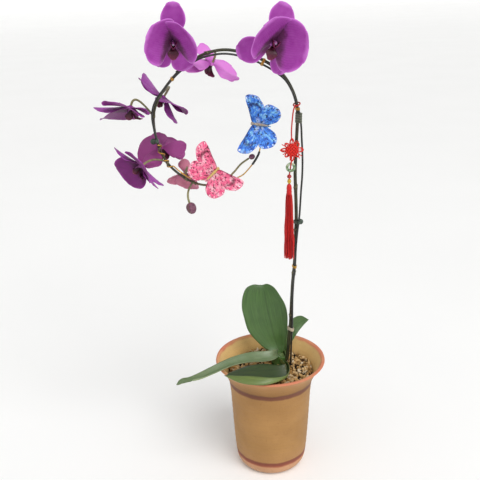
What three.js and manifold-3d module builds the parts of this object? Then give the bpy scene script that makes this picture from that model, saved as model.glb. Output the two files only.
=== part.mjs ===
// A potted doritaenopsis orchid. Its flower spike is tied to a black wire stake that is bent into
// a hoop, and the hoop carries two craft butterflies and a red knot tassel.
// Millimetres, +Z up. The origin is the centre of the pot's flat base, the hoop's plane runs
// along X, and the blooms are looked at from -Y.
import * as THREE from "three";
import { mergeVertices } from "three/addons/utils/BufferGeometryUtils.js";
import Module from "manifold-3d";

const wasm = await Module();
wasm.setup();

const gap = 0.3; // clearance between pieces that touch
const fineSliver = 0.05; // how far off its true surface a sliver may lie before it is taken out
const coarseSliver = 0.1;
const plant = new THREE.Group();

// Materials
const finish = (color, roughness, metalness = 0) =>
  new THREE.MeshStandardMaterial({ color, roughness, metalness });
const stoneware = finish(0xb98f5c, 0.75);
const barkMix = finish(0x9c7747, 0.95);
const rootstock = finish(0x7f8c55, 0.7);
const leafGreen = finish(0x3f6b34, 0.4);
const spikeOlive = finish(0x3c4029, 0.5);
const petalPurple = finish(0x8d3498, 0.6);
const lipCrimson = finish(0x4f1130, 0.5);
const budMauve = finish(0x6b3a50, 0.55);
const blackWire = finish(0x161616, 0.35);
const brassWire = finish(0xb98b35, 0.35, 0.9);
const clipGreen = finish(0x27382c, 0.45);
const clipBeige = finish(0xb7a68f, 0.5);
const tapeGreen = finish(0x4c553f, 0.7);
const blueWing = finish(0x3f7be0, 0.5);
const pinkWing = finish(0xf0638f, 0.5);
const bodyBrown = finish(0x7a5a3c, 0.6);
const bodyGold = finish(0xd9b45a, 0.5);
const redSilk = finish(0xb81f27, 0.6);
const jade = finish(0x6f9b72, 0.25);
const goldBead = finish(0xd7b036, 0.3, 0.9);

// Small helpers

// A repeatable random number source.
function seeded(seed) {
  let state = seed >>> 0;
  return () => {
    state = (state + 0x6d2b79f5) >>> 0;
    let t = Math.imul(state ^ (state >>> 15), 1 | state);
    t = (t + Math.imul(t ^ (t >>> 7), 61 | t)) ^ t;
    return ((t ^ (t >>> 14)) >>> 0) / 4294967296;
  };
}

const point = (x, y, z) => new THREE.Vector3(x, y, z);
const radians = THREE.MathUtils.degToRad;
const curveThrough = (rows) => new THREE.CatmullRomCurve3(rows.map((row) => point(...row)));

// The value at u of a smooth curve through a short table of [u, value] rows.
function fromTable(rows, u) {
  const last = rows.length - 1;
  let i = 0;
  while (i < last - 1 && u > rows[i + 1][0]) i += 1;
  const [u0, a] = rows[i];
  const [u1, b] = rows[i + 1];
  const slope = (j) => {
    const before = rows[Math.max(j - 1, 0)];
    const after = rows[Math.min(j + 1, last)];
    return (after[1] - before[1]) / (after[0] - before[0]);
  };
  const h = u1 - u0;
  const t = THREE.MathUtils.clamp((u - u0) / h, 0, 1);
  const t2 = t * t;
  const t3 = t2 * t;
  return (
    (2 * t3 - 3 * t2 + 1) * a +
    (t3 - 2 * t2 + t) * h * slope(i) +
    (3 * t2 - 2 * t3) * b +
    (t3 - t2) * h * slope(i + 1)
  );
}

// Closed solids

function solidOf(geometry) {
  const bare = new THREE.BufferGeometry();
  bare.setAttribute("position", geometry.getAttribute("position"));
  if (geometry.index) bare.setIndex(geometry.index);
  const merged = mergeVertices(bare, 1e-4);
  return new wasm.Manifold(
    new wasm.Mesh({
      numProp: 3,
      vertProperties: new Float32Array(merged.attributes.position.array),
      triVerts: new Uint32Array(merged.index.array),
    }),
  );
}

function joined(geometries) {
  return geometries.map(solidOf).reduce((all, next) => all.add(next));
}

// The largest of the bodies that a cut or a join left.
function mainBody(solid) {
  return solid.decompose().reduce((best, body) => (body.volume() > best.volume() ? body : best));
}

// The same with its slivers taken out.
const tidied = (solid, sliver = fineSliver) => mainBody(mainBody(solid).simplify(sliver));

function addPart(name, solid, material, parent = plant) {
  const { vertProperties, triVerts } = solid.getMesh();
  const geometry = new THREE.BufferGeometry();
  geometry.setAttribute("position", new THREE.BufferAttribute(new Float32Array(vertProperties), 3));
  geometry.setIndex(new THREE.BufferAttribute(new Uint32Array(triVerts), 1));
  geometry.computeVertexNormals();
  const mesh = new THREE.Mesh(geometry, material);
  mesh.name = name;
  parent.add(mesh);
  return mesh;
}

// A geometry from rings of points with the same count, closed by a flat fan at each end.
function loft(rings) {
  const sides = rings[0].length;
  const positions = rings.flat().flatMap((p) => [p.x, p.y, p.z]);
  const index = [];
  for (let i = 0; i < rings.length - 1; i += 1)
    for (let j = 0; j < sides; j += 1) {
      const a = i * sides + j;
      const b = i * sides + ((j + 1) % sides);
      index.push(a, b, b + sides, a, b + sides, a + sides);
    }
  for (const [ring, turned] of [[0, true], [rings.length - 1, false]]) {
    const centre = rings[ring].reduce((sum, p) => sum.add(p), point(0, 0, 0));
    centre.divideScalar(sides);
    positions.push(centre.x, centre.y, centre.z);
    const middle = positions.length / 3 - 1;
    for (let j = 0; j < sides; j += 1) {
      const a = ring * sides + j;
      const b = ring * sides + ((j + 1) % sides);
      index.push(...(turned ? [middle, b, a] : [middle, a, b]));
    }
  }
  const geometry = new THREE.BufferGeometry();
  geometry.setAttribute("position", new THREE.Float32BufferAttribute(positions, 3));
  geometry.setIndex(index);
  return geometry;
}

// A tube along a curve, with a radius for each place u on it.
function tube(curve, radiusAt, sides, steps) {
  const frames = curve.computeFrenetFrames(steps, false);
  const rings = [];
  for (let i = 0; i <= steps; i += 1) {
    const centre = curve.getPointAt(i / steps);
    const radius = radiusAt(i / steps);
    rings.push(
      Array.from({ length: sides }, (_, j) => {
        const angle = (2 * Math.PI * j) / sides;
        return centre
          .clone()
          .addScaledVector(frames.normals[i], radius * Math.cos(angle))
          .addScaledVector(frames.binormals[i], radius * Math.sin(angle));
      }),
    );
  }
  return loft(rings);
}

// A thin blade such as a petal, a leaf or a wing. at(u, v) gives its middle surface, with u from
// root to tip and v across it from -1 to 1, and both faces are split into triangles alike.
function blade({ at, thickness, along, across }) {
  const positions = [];
  const step = 1e-3;
  const columns = across + 1;
  const count = (along + 1) * columns;
  for (const side of [1, -1])
    for (let i = 0; i <= along; i += 1)
      for (let j = 0; j <= across; j += 1) {
        const u = i / along;
        const v = (2 * j) / across - 1;
        const uBack = Math.min(u, 1 - step);
        const vBack = Math.min(v, 1 - step);
        const alongU = at(uBack + step, v).sub(at(uBack, v));
        const alongV = at(u, vBack + step).sub(at(u, vBack));
        const normal = alongV.cross(alongU).normalize();
        const p = at(u, v).addScaledVector(normal, (side * thickness) / 2);
        positions.push(p.x, p.y, p.z);
      }
  const index = [];
  for (let i = 0; i < along; i += 1)
    for (let j = 0; j < across; j += 1) {
      const a = i * columns + j;
      const b = a + 1;
      const c = a + columns;
      const d = c + 1;
      index.push(a, b, d, a, d, c);
      index.push(a + count, d + count, b + count, a + count, c + count, d + count);
    }
  const border = [];
  for (let j = 0; j < across; j += 1) border.push(j);
  for (let i = 0; i < along; i += 1) border.push(i * columns + across);
  for (let j = across; j > 0; j -= 1) border.push(along * columns + j);
  for (let i = along; i > 0; i -= 1) border.push(i * columns);
  border.forEach((a, k) => {
    const b = border[(k + 1) % border.length];
    index.push(a, a + count, b + count, a, b + count, b);
  });
  const geometry = new THREE.BufferGeometry();
  geometry.setAttribute("position", new THREE.Float32BufferAttribute(positions, 3));
  geometry.setIndex(index);
  return geometry;
}

// Pot: thrown stoneware with a flared rim, a rounded foot and four drain holes.
const potFacets = 30;
const potHeight = 142;
const rimRadius = 65.5;
const baseRadius = 34;
const innerBaseRadius = 35;
const floorThickness = 8;
const potOutside = [
  [baseRadius, 0], [38.5, 3.5], [41.8, 9], [43.6, 20], [45.6, 46], [47.4, 78], [48.8, 102],
  [50.6, 115], [54, 124], [59, 132.5], [63, 137.5], [rimRadius, 140.4], [65, potHeight],
];
const potInside = [
  [62, potHeight - 0.4], [59, 137], [54.6, 130], [49.6, 120], [45.8, 108], [44.2, 90],
  [42, 60], [40, 24], [innerBaseRadius, floorThickness],
];
const drainHoles = { count: 4, radius: 4, circle: 22, facets: 12 };

function lathe(profile, facets) {
  const turned = new THREE.LatheGeometry(
    profile.map(([r, z]) => new THREE.Vector2(r, z)),
    facets,
  );
  return turned.rotateX(Math.PI / 2);
}

function makePot() {
  let pot = solidOf(lathe([[0, 0], ...potOutside, ...potInside, [0, floorThickness]], potFacets));
  for (let i = 0; i < drainHoles.count; i += 1) {
    const angle = (2 * Math.PI * (i + 0.5)) / drainHoles.count;
    const hole = new THREE.CylinderGeometry(
      drainHoles.radius, drainHoles.radius, 3 * floorThickness, drainHoles.facets,
    );
    hole.rotateX(Math.PI / 2);
    hole.translate(drainHoles.circle * Math.cos(angle), drainHoles.circle * Math.sin(angle), 0);
    pot = pot.subtract(solidOf(hole));
  }
  return pot;
}
addPart("pot", makePot(), stoneware);

// The spike's route: x, z, then where the stake wire lies round it (degrees: 0 outside the hoop,
// 90 in front, 180 inside) and how far from it. The spike leaves the crown, climbs the stake and
// runs round the hoop.
const stakePlaneY = 8;
const spikeRoot = [
  [12, 13, 124],
  [16.5, 10.5, 128],
  [20.4, 8.6, 134],
];
const spikeRoute = [
  [22, 145, 35, 3.9], [23.3, 164, 50, 3.8], [25.1, 182, 65, 3.8], [26.4, 210, 80, 3.7],
  [27.8, 237, 90, 3.6], [29.6, 257, 85, 3.5], [30.6, 284, 80, 3.5], [31.2, 302, 65, 3.5],
  [31.5, 318, 35, 3.6], [30.8, 346, 5, 5.4], [30.1, 366, 0, 7.4], [30.6, 386, 0, 7.0],
  [31.6, 407, 0, 5.0], [32.2, 420, 20, 3.9], [32.6, 432, 60, 3.6], [31.4, 444, 90, 3.5],
  [27.6, 456.5, 100, 3.4], [20.2, 470.3, 110, 3.4], [10.4, 481, 150, 3.4],
  [-2.3, 489.3, 178, 3.6], [-17.8, 496.3, 180, 3.6], [-40.7, 501.6, 178, 3.5],
  [-56, 500.6, 150, 3.4], [-74, 494.4, 120, 3.4], [-92.2, 481.8, 105, 3.3],
  [-103, 471, 95, 3.3], [-112, 459.8, 80, 3.2], [-119.5, 447, 60, 3.2],
  [-123, 434.5, 70, 3.2], [-123, 420, 90, 3.1], [-120.8, 406, 90, 3.1],
];
const spikeEnd = [
  [-115.8, 391], [-108.5, 379], [-98.5, 369.3], [-86.5, 361.2], [-73, 356.4], [-59.5, 356.6],
  [-47.5, 361.6], [-38, 370], [-30, 379], [-21.5, 385],
];
const spikeRadius = [[0, 2.1], [0.35, 1.9], [0.62, 1.6], [0.85, 1.35], [1, 1.0]];
const spikeSides = 6;
const spikeSteps = 60;

const spikePoints = [
  ...spikeRoot,
  ...spikeRoute.map(([x, z]) => [x, stakePlaneY, z]),
  ...spikeEnd.map(([x, z]) => [x, stakePlaneY, z]),
];
const spikeCurve = curveThrough(spikePoints);

// The place, direction and outward side of the spike at a route point, or a share of the way on
// to the next one.
function spikeStation(i) {
  const t = (spikeRoot.length + i) / (spikePoints.length - 1);
  const at = spikeCurve.getPoint(t);
  const tangent = spikeCurve.getTangent(t);
  const outward = point(0, 1, 0).cross(tangent).normalize();
  return { at, tangent, outward };
}

// Stake: one black wire from the floor of the pot up to the hoop and three fifths of the way round.
const wireRadius = 1.1;
const wireSides = 5;
const wireSteps = 56;
const wireEase = 0.55; // room for the flats of two faceted tubes that run side by side
const wireFoot = [
  [25.6, 5.2, 20],
  [25.2, 5.2, 70],
  [24.9, 5.4, 118],
];
const wireStations = spikeRoute.map(([, , side, distance], i) => {
  const { at, outward } = spikeStation(i);
  const angle = radians(side);
  return at
    .addScaledVector(outward, (distance + wireEase) * Math.cos(angle))
    .addScaledVector(point(0, -1, 0), (distance + wireEase) * Math.sin(angle));
});
const wireCurve = new THREE.CatmullRomCurve3([
  ...wireFoot.map((row) => point(...row)),
  ...wireStations,
]);
const makeWire = (grow) => solidOf(tube(wireCurve, () => wireRadius + grow, wireSides, wireSteps));
addPart("support_wire", makeWire(0), blackWire);

// Crown: the short stem that every leaf and the spike grow from, with its thick roots in the mix.
const crownCentre = point(12, 14, 0);
const crownProfile = [
  [0, 92], [5, 94], [7.4, 104], [8.2, 118], [8.4, 128], [7.4, 138], [4.8, 146], [0, 148.5],
];
const crownFacets = 12;
// Each root runs out from the crown by these distances, at these heights, and drifts to the middle.
const crownRoots = {
  count: 5, firstTurn: 0.35, radius: 2.3, taper: 0.35, drift: 60, sides: 4, steps: 3,
  route: [[2, 104], [14, 96], [23, 80], [25, 56]],
};

// grow swells it, to cut the room that its neighbours leave for it.
function crownSolid(grow) {
  const core = lathe(crownProfile.map(([r, z], i) => {
    const end = i === 0 ? -grow : i === crownProfile.length - 1 ? grow : 0;
    return [r === 0 ? 0 : r + grow, z + end];
  }), crownFacets);
  core.translate(crownCentre.x, crownCentre.y, 0);
  const roots = Array.from({ length: crownRoots.count }, (_, i) => {
    const angle = (2 * Math.PI * (i + crownRoots.firstTurn)) / crownRoots.count;
    const route = curveThrough(crownRoots.route.map(([r, z]) => [
      crownCentre.x * (1 - r / crownRoots.drift) + r * Math.cos(angle),
      crownCentre.y * (1 - r / crownRoots.drift) + r * Math.sin(angle),
      z,
    ]));
    const radiusAt = (u) => (crownRoots.radius + grow) * (1 - crownRoots.taper * u);
    return tube(route, radiusAt, crownRoots.sides, crownRoots.steps);
  });
  return joined([core, ...roots]);
}

// Bloom frames: +Z is the way the flower faces, +Y is its upper sepal. Each sepal and petal has
// its turn from +Y and its lean towards the face: the upper sepal, the two lower ones, then the
// petals. stem is the route point that the flower's own stalk leaves.
const blooms = [
  { name: "bloom_1", at: [5.3, -18, 508.8], face: [0.17, -0.98, -0.01],
    up: [0.38, 0.05, 0.92], size: 0.95, stem: 18.4,
    sepals: [[0, -9], [128, -19], [-128, -19]], petals: [[64, 60], [-74, 50]] },
  { name: "bloom_2", at: [-59.4, 37, 484.7], face: [-0.46, 0.27, -0.84],
    up: [-0.28, 0.86, 0.43], size: 0.82, stem: 22.3,
    sepals: [[0, 2], [128, 6], [-105, 6]], petals: [[65, 9], [-65, 23]] },
  { name: "bloom_3", at: [-95.5, -21, 511.4], face: [0.11, -0.99, -0.11],
    up: [0.06, -0.1, 0.99], size: 0.87, stem: 24,
    sepals: [[0, 4], [140, -24], [-150, -18]], petals: [[72, 48], [-56, 64]] },
  { name: "bloom_4", at: [-115.3, 46, 448.6], face: [-0.58, -0.02, -0.81],
    up: [-0.76, -0.2, 0.58], size: 0.8, stem: 26.3,
    sepals: [[-14, 0], [165, 10], [-150, 36]], petals: [[20, -12], [-122, -6]] },
  { name: "bloom_5", at: [-146, 0, 445], face: [-0.28, 0, -0.96],
    up: [-0.96, 0, 0.28], size: 0.86, stem: 28,
    sepals: [[0, 24], [112, 14], [-112, -6]], petals: [[38, 44], [-75, -8]] },
  { name: "bloom_6", at: [-118.4, 27, 396.1], face: [0.09, 0.79, -0.6],
    up: [-0.4, 0.58, 0.71], size: 0.75, stem: 30.4,
    sepals: [[0, 40], [128, -9], [-128, -9]], petals: [[70, 54], [-65, 27]] },
  { name: "bloom_7", at: [-139, -1, 381.5], face: [-0.8, -0.15, -0.57],
    up: [-0.59, 0, 0.82], size: 0.77, stem: 31.6,
    sepals: [[0, 26], [178, -2], [-150, 8]], petals: [[85, 62], [-80, -5]] },
  { name: "bloom_8", at: [-94.3, 33, 363.5], face: [-0.34, 0.07, -0.94],
    up: [-0.63, -0.76, 0.17], size: 0.56, stem: 33.5,
    sepals: [[0, 35], [128, -19], [-128, -19]], petals: [[90, 55], [-74, 28]] },
];

function bloomMatrix({ at, face, up }) {
  const z = point(...face).normalize();
  const x = point(...up).cross(z).normalize();
  const y = z.clone().cross(x);
  return new THREE.Matrix4().makeBasis(x, y, z).setPosition(point(...at));
}

// Petals and sepals. Outlines are [share of the length, share of the half width].
const petalOutline = [
  [0, 0.2], [0.06, 0.46], [0.16, 0.76], [0.3, 0.94], [0.48, 1], [0.68, 0.93], [0.84, 0.74], [0.95, 0.44],
  [1, 0.16],
];
const sepalOutline = [
  [0, 0.14], [0.08, 0.28], [0.22, 0.6], [0.45, 0.97], [0.65, 1], [0.85, 0.72], [0.95, 0.42], [1, 0.14],
];
const petalThickness = 0.9;
const petalShape = {
  root: [2.4, 0.2], length: 43, halfWidth: 27.5, outline: petalOutline, bend: -12, trough: 0.2, wave: 0.9,
};
const sepalShape = {
  root: [2.4, -1.3], lengths: [46, 42, 42], halfWidth: 14, outline: sepalOutline,
  bend: -14, trough: 0.22, wave: 0.4,
};
const heart = { radius: 3.6, flatness: 0.75, behind: 0.6, facets: [6, 4] };

// A flower part that grows from near the bloom's centre: root is how far out and how far forward
// it starts, rise its lean towards the face, bend its further curl along its length, trough how
// far its edges lift, and wave how far they ripple.
function petalAt({ turn, root, length, halfWidth, outline, rise, bend, trough, wave, size }) {
  const start = radians(rise);
  const curl = radians(bend);
  const turned = new THREE.Matrix4().makeRotationZ(radians(turn));
  return (u, v) => {
    const width = halfWidth * fromTable(outline, u);
    const angle = start + curl * u;
    const run = length - root[0];
    const y = root[0] + (run * (Math.sin(angle) - Math.sin(start))) / curl;
    const z = root[1] + (run * (Math.cos(start) - Math.cos(angle))) / curl;
    const lift = (trough * (v * width) ** 2) / halfWidth + wave * v * v * Math.sin(9 * u + 2 * v);
    const across = v * width;
    const p = point(across, y - lift * Math.sin(angle), z + lift * Math.cos(angle));
    return p.multiplyScalar(size).applyMatrix4(turned);
  };
}

function perianthSolid({ size, sepals, petals }) {
  const middle = new THREE.SphereGeometry(heart.radius * size, ...heart.facets);
  middle.scale(1, 1, heart.flatness).translate(0, 0, -heart.behind * size);
  const { lengths, ...sepalRest } = sepalShape;
  const blades = [
    ...sepals.map(([turn, rise], i) => ({
      along: 3, across: 2, thickness: petalThickness,
      at: petalAt({ ...sepalRest, turn, rise, size, length: lengths[i] }),
    })),
    ...petals.map(([turn, rise]) => ({
      along: 4, across: 2, thickness: petalThickness,
      at: petalAt({ ...petalShape, turn, rise, size }),
    })),
  ];
  return joined([middle, ...blades.map(blade)]);
}

// Lip and column: a three-lobed lip under a blunt column.
const lipThickness = 1.3;
const lipForward = 2.6; // how far in front of the bloom's centre it grows
const lobeShape = { root: [1.3, 0], trough: 0.2, wave: 0 };
const middleLobe = {
  length: 20, halfWidth: 6.5, rise: 58, bend: -70, along: 3,
  outline: [[0, 0.12], [0.3, 0.5], [0.6, 1], [0.8, 0.75], [1, 0.2]],
};
const sideLobe = {
  length: 14, halfWidth: 5.5, rise: 74, bend: 22, along: 2,
  outline: [[0, 0.15], [0.4, 0.7], [0.7, 1], [1, 0.45]],
};
const lobes = [
  { ...middleLobe, turn: 180 },
  { ...sideLobe, turn: 118 },
  { ...sideLobe, turn: -118 },
];
const column = { foot: [0, 0.4, -1.4], waist: [0, 1.2, 3.2], top: [0, 0.6, 7.4], radius: 2.4, taper: 0.5 };

// grow swells it, to cut its seat in the petals.
function lipSolid(size, grow) {
  const blades = lobes.map(({ along, length, halfWidth, ...rest }) => blade({
    along, across: 1, thickness: lipThickness + 2 * grow,
    at: petalAt({ ...lobeShape, ...rest, size, length: length + grow, halfWidth: halfWidth + grow }),
  }));
  const route = curveThrough([
    column.foot,
    [column.waist[0], column.waist[1], column.waist[2] * size],
    [column.top[0], column.top[1], column.top[2] * size + grow],
  ]);
  const post = tube(route, (u) => (column.radius - column.taper * u) * size + grow, 5, 1);
  return joined([post, ...blades].map((piece) => piece.translate(0, 0, lipForward * size)));
}

const seatGap = 0.85; // a lip keeps this far from its petals
for (const bloom of blooms) {
  const frame = new THREE.Group();
  frame.applyMatrix4(bloomMatrix(bloom));
  plant.add(frame);
  const perianth = perianthSolid(bloom).subtract(lipSolid(bloom.size, seatGap));
  addPart(`${bloom.name}_perianth`, tidied(perianth, coarseSliver), petalPurple, frame);
  addPart(`${bloom.name}_lip`, tidied(lipSolid(bloom.size, 0), coarseSliver), lipCrimson, frame);
}

// Spike: the stalk with a pedicel for each bloom and bud, which meets the back of its flower.
const pedicelRadius = 1.15;
const pedicelReach = 0.45; // the share of its length that runs straight into the flower
const flowerBack = 3.3; // how far behind its centre a flower of size 1 takes its stalk
const budProfile = [[0, 0], [0.62, 0.1], [1, 0.42], [0.9, 0.72], [0.5, 0.94], [0, 1]];
const budFacets = 12;
const buds = [
  { name: "bud_large", at: [-86.8, 5, 330.5], length: 13.6, radius: 5.7, from: 34.2, axis: [0.3, 0, -1] },
  { name: "bud_tip", at: [-17.6, 8, 387], length: 7, radius: 3, from: null, axis: [1, 0, 0.35] },
];

// A stalk from the spike to the back of a flower that it reaches from behind.
function pedicel(from, tip, direction, grow) {
  const behind = tip.clone().addScaledVector(direction, -pedicelReach * tip.distanceTo(from));
  const middle = from.clone().lerp(behind, 0.5);
  const route = new THREE.CatmullRomCurve3([from, middle, behind, tip]);
  return tube(route, () => pedicelRadius + grow, 4, 4);
}

function spikeSolid(grow) {
  const stalk = tube(spikeCurve, (u) => fromTable(spikeRadius, u) + grow, spikeSides, spikeSteps);
  const stems = blooms.map((bloom) => {
    const matrix = bloomMatrix(bloom);
    const back = point(0, 0, -(flowerBack * bloom.size + gap)).applyMatrix4(matrix);
    const face = point(...bloom.face).normalize();
    return pedicel(spikeStation(bloom.stem).at, back, face, grow);
  });
  const bud = buds[0];
  const axis = point(...bud.axis).normalize();
  const budTop = point(...bud.at).addScaledVector(axis, -(bud.length / 2 + gap));
  stems.push(pedicel(spikeStation(bud.from).at, budTop, axis, grow));
  return joined([stalk, ...stems]);
}
const spike = spikeSolid(0);
addPart("flower_spike", tidied(spike), spikeOlive);

for (const bud of buds) {
  const profile = budProfile.map(([r, z]) => [r * bud.radius, (z - 0.5) * bud.length]);
  const geometry = lathe(profile, budFacets);
  const turn = new THREE.Quaternion().setFromUnitVectors(
    point(0, 0, 1),
    point(...bud.axis).normalize(),
  );
  geometry.applyQuaternion(turn).translate(...bud.at);
  addPart(bud.name, solidOf(geometry), budMauve);
}

// The crown keeps a socket for the spike's root.
const spikeGrown = spikeSolid(gap);
const wireGrown = makeWire(gap);
const crown = tidied(crownSolid(0).subtract(spikeGrown));
addPart("crown_and_roots", crown, rootstock);

// Potting mix: bark and pumice chips on a fill that keeps clear of the pot, crown and wire.
const mixTop = 127;
const mixHeap = 1; // how much higher it lies in the middle
const mixInset = 1; // how far it keeps from the pot's wall
const mixShoulder = [[51, mixTop - 2], [42, mixTop]];
const mixSliver = 0.12;
const chips = {
  count: 17, seed: 7, within: 43, tumble: 0.9, lift: 0.8,
  smallest: [6, 4, 3.5], spread: [5, 3, 2],
};
function makeMix() {
  const wall = potInside.filter(([, z]) => z < mixTop && z > floorThickness).reverse();
  const profile = [
    [0, floorThickness + gap],
    [innerBaseRadius - mixInset, floorThickness + gap],
    ...wall.map(([r, z]) => [r - mixInset, z]),
    ...mixShoulder,
    [0, mixTop + mixHeap],
  ];
  const random = seeded(chips.seed);
  const lean = () => chips.tumble * (random() - 0.5);
  const scattered = Array.from({ length: chips.count }, () => {
    const r = chips.within * Math.sqrt(random());
    const angle = 2 * Math.PI * random();
    const size = chips.smallest.map((least, axis) => least + chips.spread[axis] * random());
    const chip = new THREE.BoxGeometry(...size);
    chip.rotateX(lean()).rotateY(lean()).rotateZ(6 * random());
    return chip.translate(r * Math.cos(angle), r * Math.sin(angle), mixTop + chips.lift * random());
  });
  const fill = joined([lathe(profile, potFacets), ...scattered]);
  return tidied(fill.subtract(crownSolid(gap)).subtract(wireGrown).subtract(spikeGrown), mixSliver);
}
addPart("potting_mix", makeMix(), barkMix);

// Leaves, each drawn by its two edges and its midrib from the root in the crown to the tip.
const leafThickness = 1.4;
const leafAcross = 4; // faces from one edge to the other
const leaves = [
  { name: "leaf_upright", along: 12,
    left: [
      [9.5, 12, 141], [-4.8, 12, 146.6], [-15.2, 12, 157], [-25.3, 13, 170.4], [-30.1, 14, 187.2],
      [-32.7, 16, 201.5], [-31.2, 19, 215], [-26.7, 23, 223.5], [-18.8, 27, 225.8], [-12.2, 30, 224.4],
    ],
    midrib: [
      [12, 14, 140], [8.6, 17, 150], [5.2, 18.5, 163], [2.4, 20, 176], [-0.6, 21.5, 189],
      [-2.6, 23, 200], [-4.2, 25, 210.7], [-6, 27.2, 218.6], [-8, 28.8, 222.6], [-9.6, 30, 223.8],
    ],
    right: [
      [15.2, 12, 140.6], [19, 12.6, 148.3], [20.8, 13.6, 161.3], [22, 14.6, 176.2], [21.9, 15.6, 190.5],
      [19.4, 17, 202.5], [13.4, 20, 213.5], [6, 24, 223.2], [-1.6, 28, 225.9], [-7.2, 30, 224.2],
    ] },
  { name: "leaf_left", along: 12,
    left: [
      [10, 12, 146], [4, 4.5, 149], [-8, 1.2, 149.6], [-22.6, -4.6, 152], [-43.1, -17.6, 154],
      [-58.1, -27.7, 153], [-71.3, -35, 150], [-84.6, -38.7, 145], [-95.6, -38.6, 140],
      [-105.1, -35.2, 136], [-111.8, -32.6, 129],
    ],
    midrib: [
      [9, 11, 141], [1, -2, 142.5], [-10, -7.5, 143], [-23, -14, 146], [-43, -24.5, 148.5],
      [-57, -33.5, 148], [-69.5, -40.4, 145.6], [-82, -43, 140.6], [-92.6, -41.6, 136.6],
      [-102.6, -37, 132], [-111.5, -34.2, 127.2],
    ],
    right: [
      [11, 8, 138], [4, -9, 143.6], [-6, -15.4, 145], [-18, -19.4, 147.4], [-36, -27, 149.6],
      [-51, -35.2, 149.4], [-66.2, -43.6, 147], [-80, -45.2, 142.8], [-91.5, -41.6, 138],
      [-103, -36.8, 131.4], [-111.2, -35.4, 127],
    ] },
  { name: "leaf_front", along: 12,
    left: [
      [10, 8, 137], [15.6, -3, 138], [16.4, -18, 142], [6.8, -28.7, 147], [-6.5, -30.5, 150],
      [-19.9, -33.7, 151], [-29.9, -35.8, 150.4], [-43.2, -42.1, 148.6], [-54.2, -47.8, 147.2],
    ],
    midrib: [
      [13, 7.4, 131], [18.6, -7, 133], [19, -29, 137.6], [13.2, -46.6, 141.4], [1.8, -58.4, 143.6],
      [-11.4, -65, 144.4], [-24.2, -65.6, 144.8], [-38, -61.4, 145.2], [-54.5, -48.8, 146.6],
    ],
    right: [
      [16, 6.2, 135], [21, -8, 137.6], [20.6, -33, 141.6], [14.6, -51.6, 146], [0.5, -61.2, 149.6],
      [-13.3, -61.6, 151], [-26.1, -58.9, 151], [-39.5, -55, 149.4], [-54.7, -48.6, 147.4],
    ] },
  { name: "leaf_back", along: 8,
    left: [[14.5, 21, 141], [21, 26, 158], [29.8, 32, 176.6], [40, 37, 178.1], [50, 42, 170.6]],
    midrib: [[18, 21, 139.5], [25, 27, 153.5], [33.4, 32.4, 165.8], [42, 37.8, 170.4], [50.6, 42.2, 170]],
    right: [[21, 19, 139], [28.4, 24, 149.6], [35.4, 29, 158.6], [43.2, 36, 165.1], [50.2, 41.8, 169.4]] },
];

function leafBlade({ along, left, midrib, right }) {
  const [a, b, c] = [left, midrib, right].map(curveThrough);
  return blade({
    along, across: leafAcross, thickness: leafThickness,
    at: (u, v) => {
      const [l, m, r] = [a, b, c].map((curve) => curve.getPoint(u));
      const bow = l.clone().add(r).multiplyScalar(0.5).sub(m);
      return m.clone().addScaledVector(r.sub(l), v / 2).addScaledVector(bow, v * v);
    },
  });
}

const crownCut = crownSolid(gap);
for (const leaf of leaves) {
  addPart(leaf.name, mainBody(solidOf(leafBlade(leaf)).subtract(crownCut)), leafGreen);
}

// Ties and clips that hold the spike to the wire, each a sleeve round both. at is a route point
// or a share of the way on to the next, and knob is a ball that the clip closes with.
const ties = [
  { name: "clip_base", at: 1.7, wall: 1.1, height: 4, material: clipBeige },
  { name: "tie_stake", at: 5, wall: 0.8, height: 2.6, material: brassWire },
  { name: "clip_stake", at: 7.55, wall: 0.9, height: 4, knob: 3.3, material: clipGreen },
  { name: "tape_wrap", at: 13.75, wall: 0.8, height: 11, material: tapeGreen },
  { name: "tie_shoulder", at: 14.6, wall: 0.8, height: 2.2, material: brassWire },
  { name: "tie_hoop_right", at: 19.1, wall: 0.8, height: 2.4, material: brassWire },
  { name: "tie_hoop_left", at: 24.8, wall: 0.8, height: 2.4, material: brassWire },
  { name: "clip_hoop", at: 29.9, wall: 0.9, height: 4, knob: 3.4, material: clipGreen },
];
const sleeveSegments = 3;
const knobFacets = [7, 5];
const knobStandOff = 0.5; // how far out its middle sits, as a share of its radius

function tieSleeve({ at: station, wall, height, knob }) {
  const { at, tangent, outward } = spikeStation(station);
  const onWire = wireCurve.getPoint((wireFoot.length + station) / (wireCurve.points.length - 1));
  const toWire = onWire.sub(at);
  toWire.addScaledVector(tangent, -toWire.dot(tangent));
  const distance = toWire.length();
  const outer = fromTable(spikeRadius, station / spikeRoute.length) + gap + wall;
  const sleeve = new THREE.Shape();
  sleeve.absarc(0, 0, outer, Math.PI / 2, 1.5 * Math.PI, false);
  sleeve.absarc(distance, 0, wireRadius + gap + wall, -Math.PI / 2, Math.PI / 2, false);
  const geometry = new THREE.ExtrudeGeometry(sleeve, {
    depth: height, bevelEnabled: false, curveSegments: sleeveSegments,
  });
  geometry.translate(0, 0, -height / 2);
  const x = toWire.normalize();
  const y = tangent.clone().cross(x);
  geometry.applyMatrix4(new THREE.Matrix4().makeBasis(x, y, tangent).setPosition(at));
  const pieces = [geometry];
  if (knob) {
    const ball = new THREE.SphereGeometry(knob, ...knobFacets);
    const middle = at.clone().addScaledVector(outward, outer + knobStandOff * knob);
    pieces.push(ball.translate(...middle));
  }
  return tidied(joined(pieces).subtract(spikeGrown).subtract(wireGrown));
}
for (const tie of ties) addPart(tie.name, tieSleeve(tie), tie.material);

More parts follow.
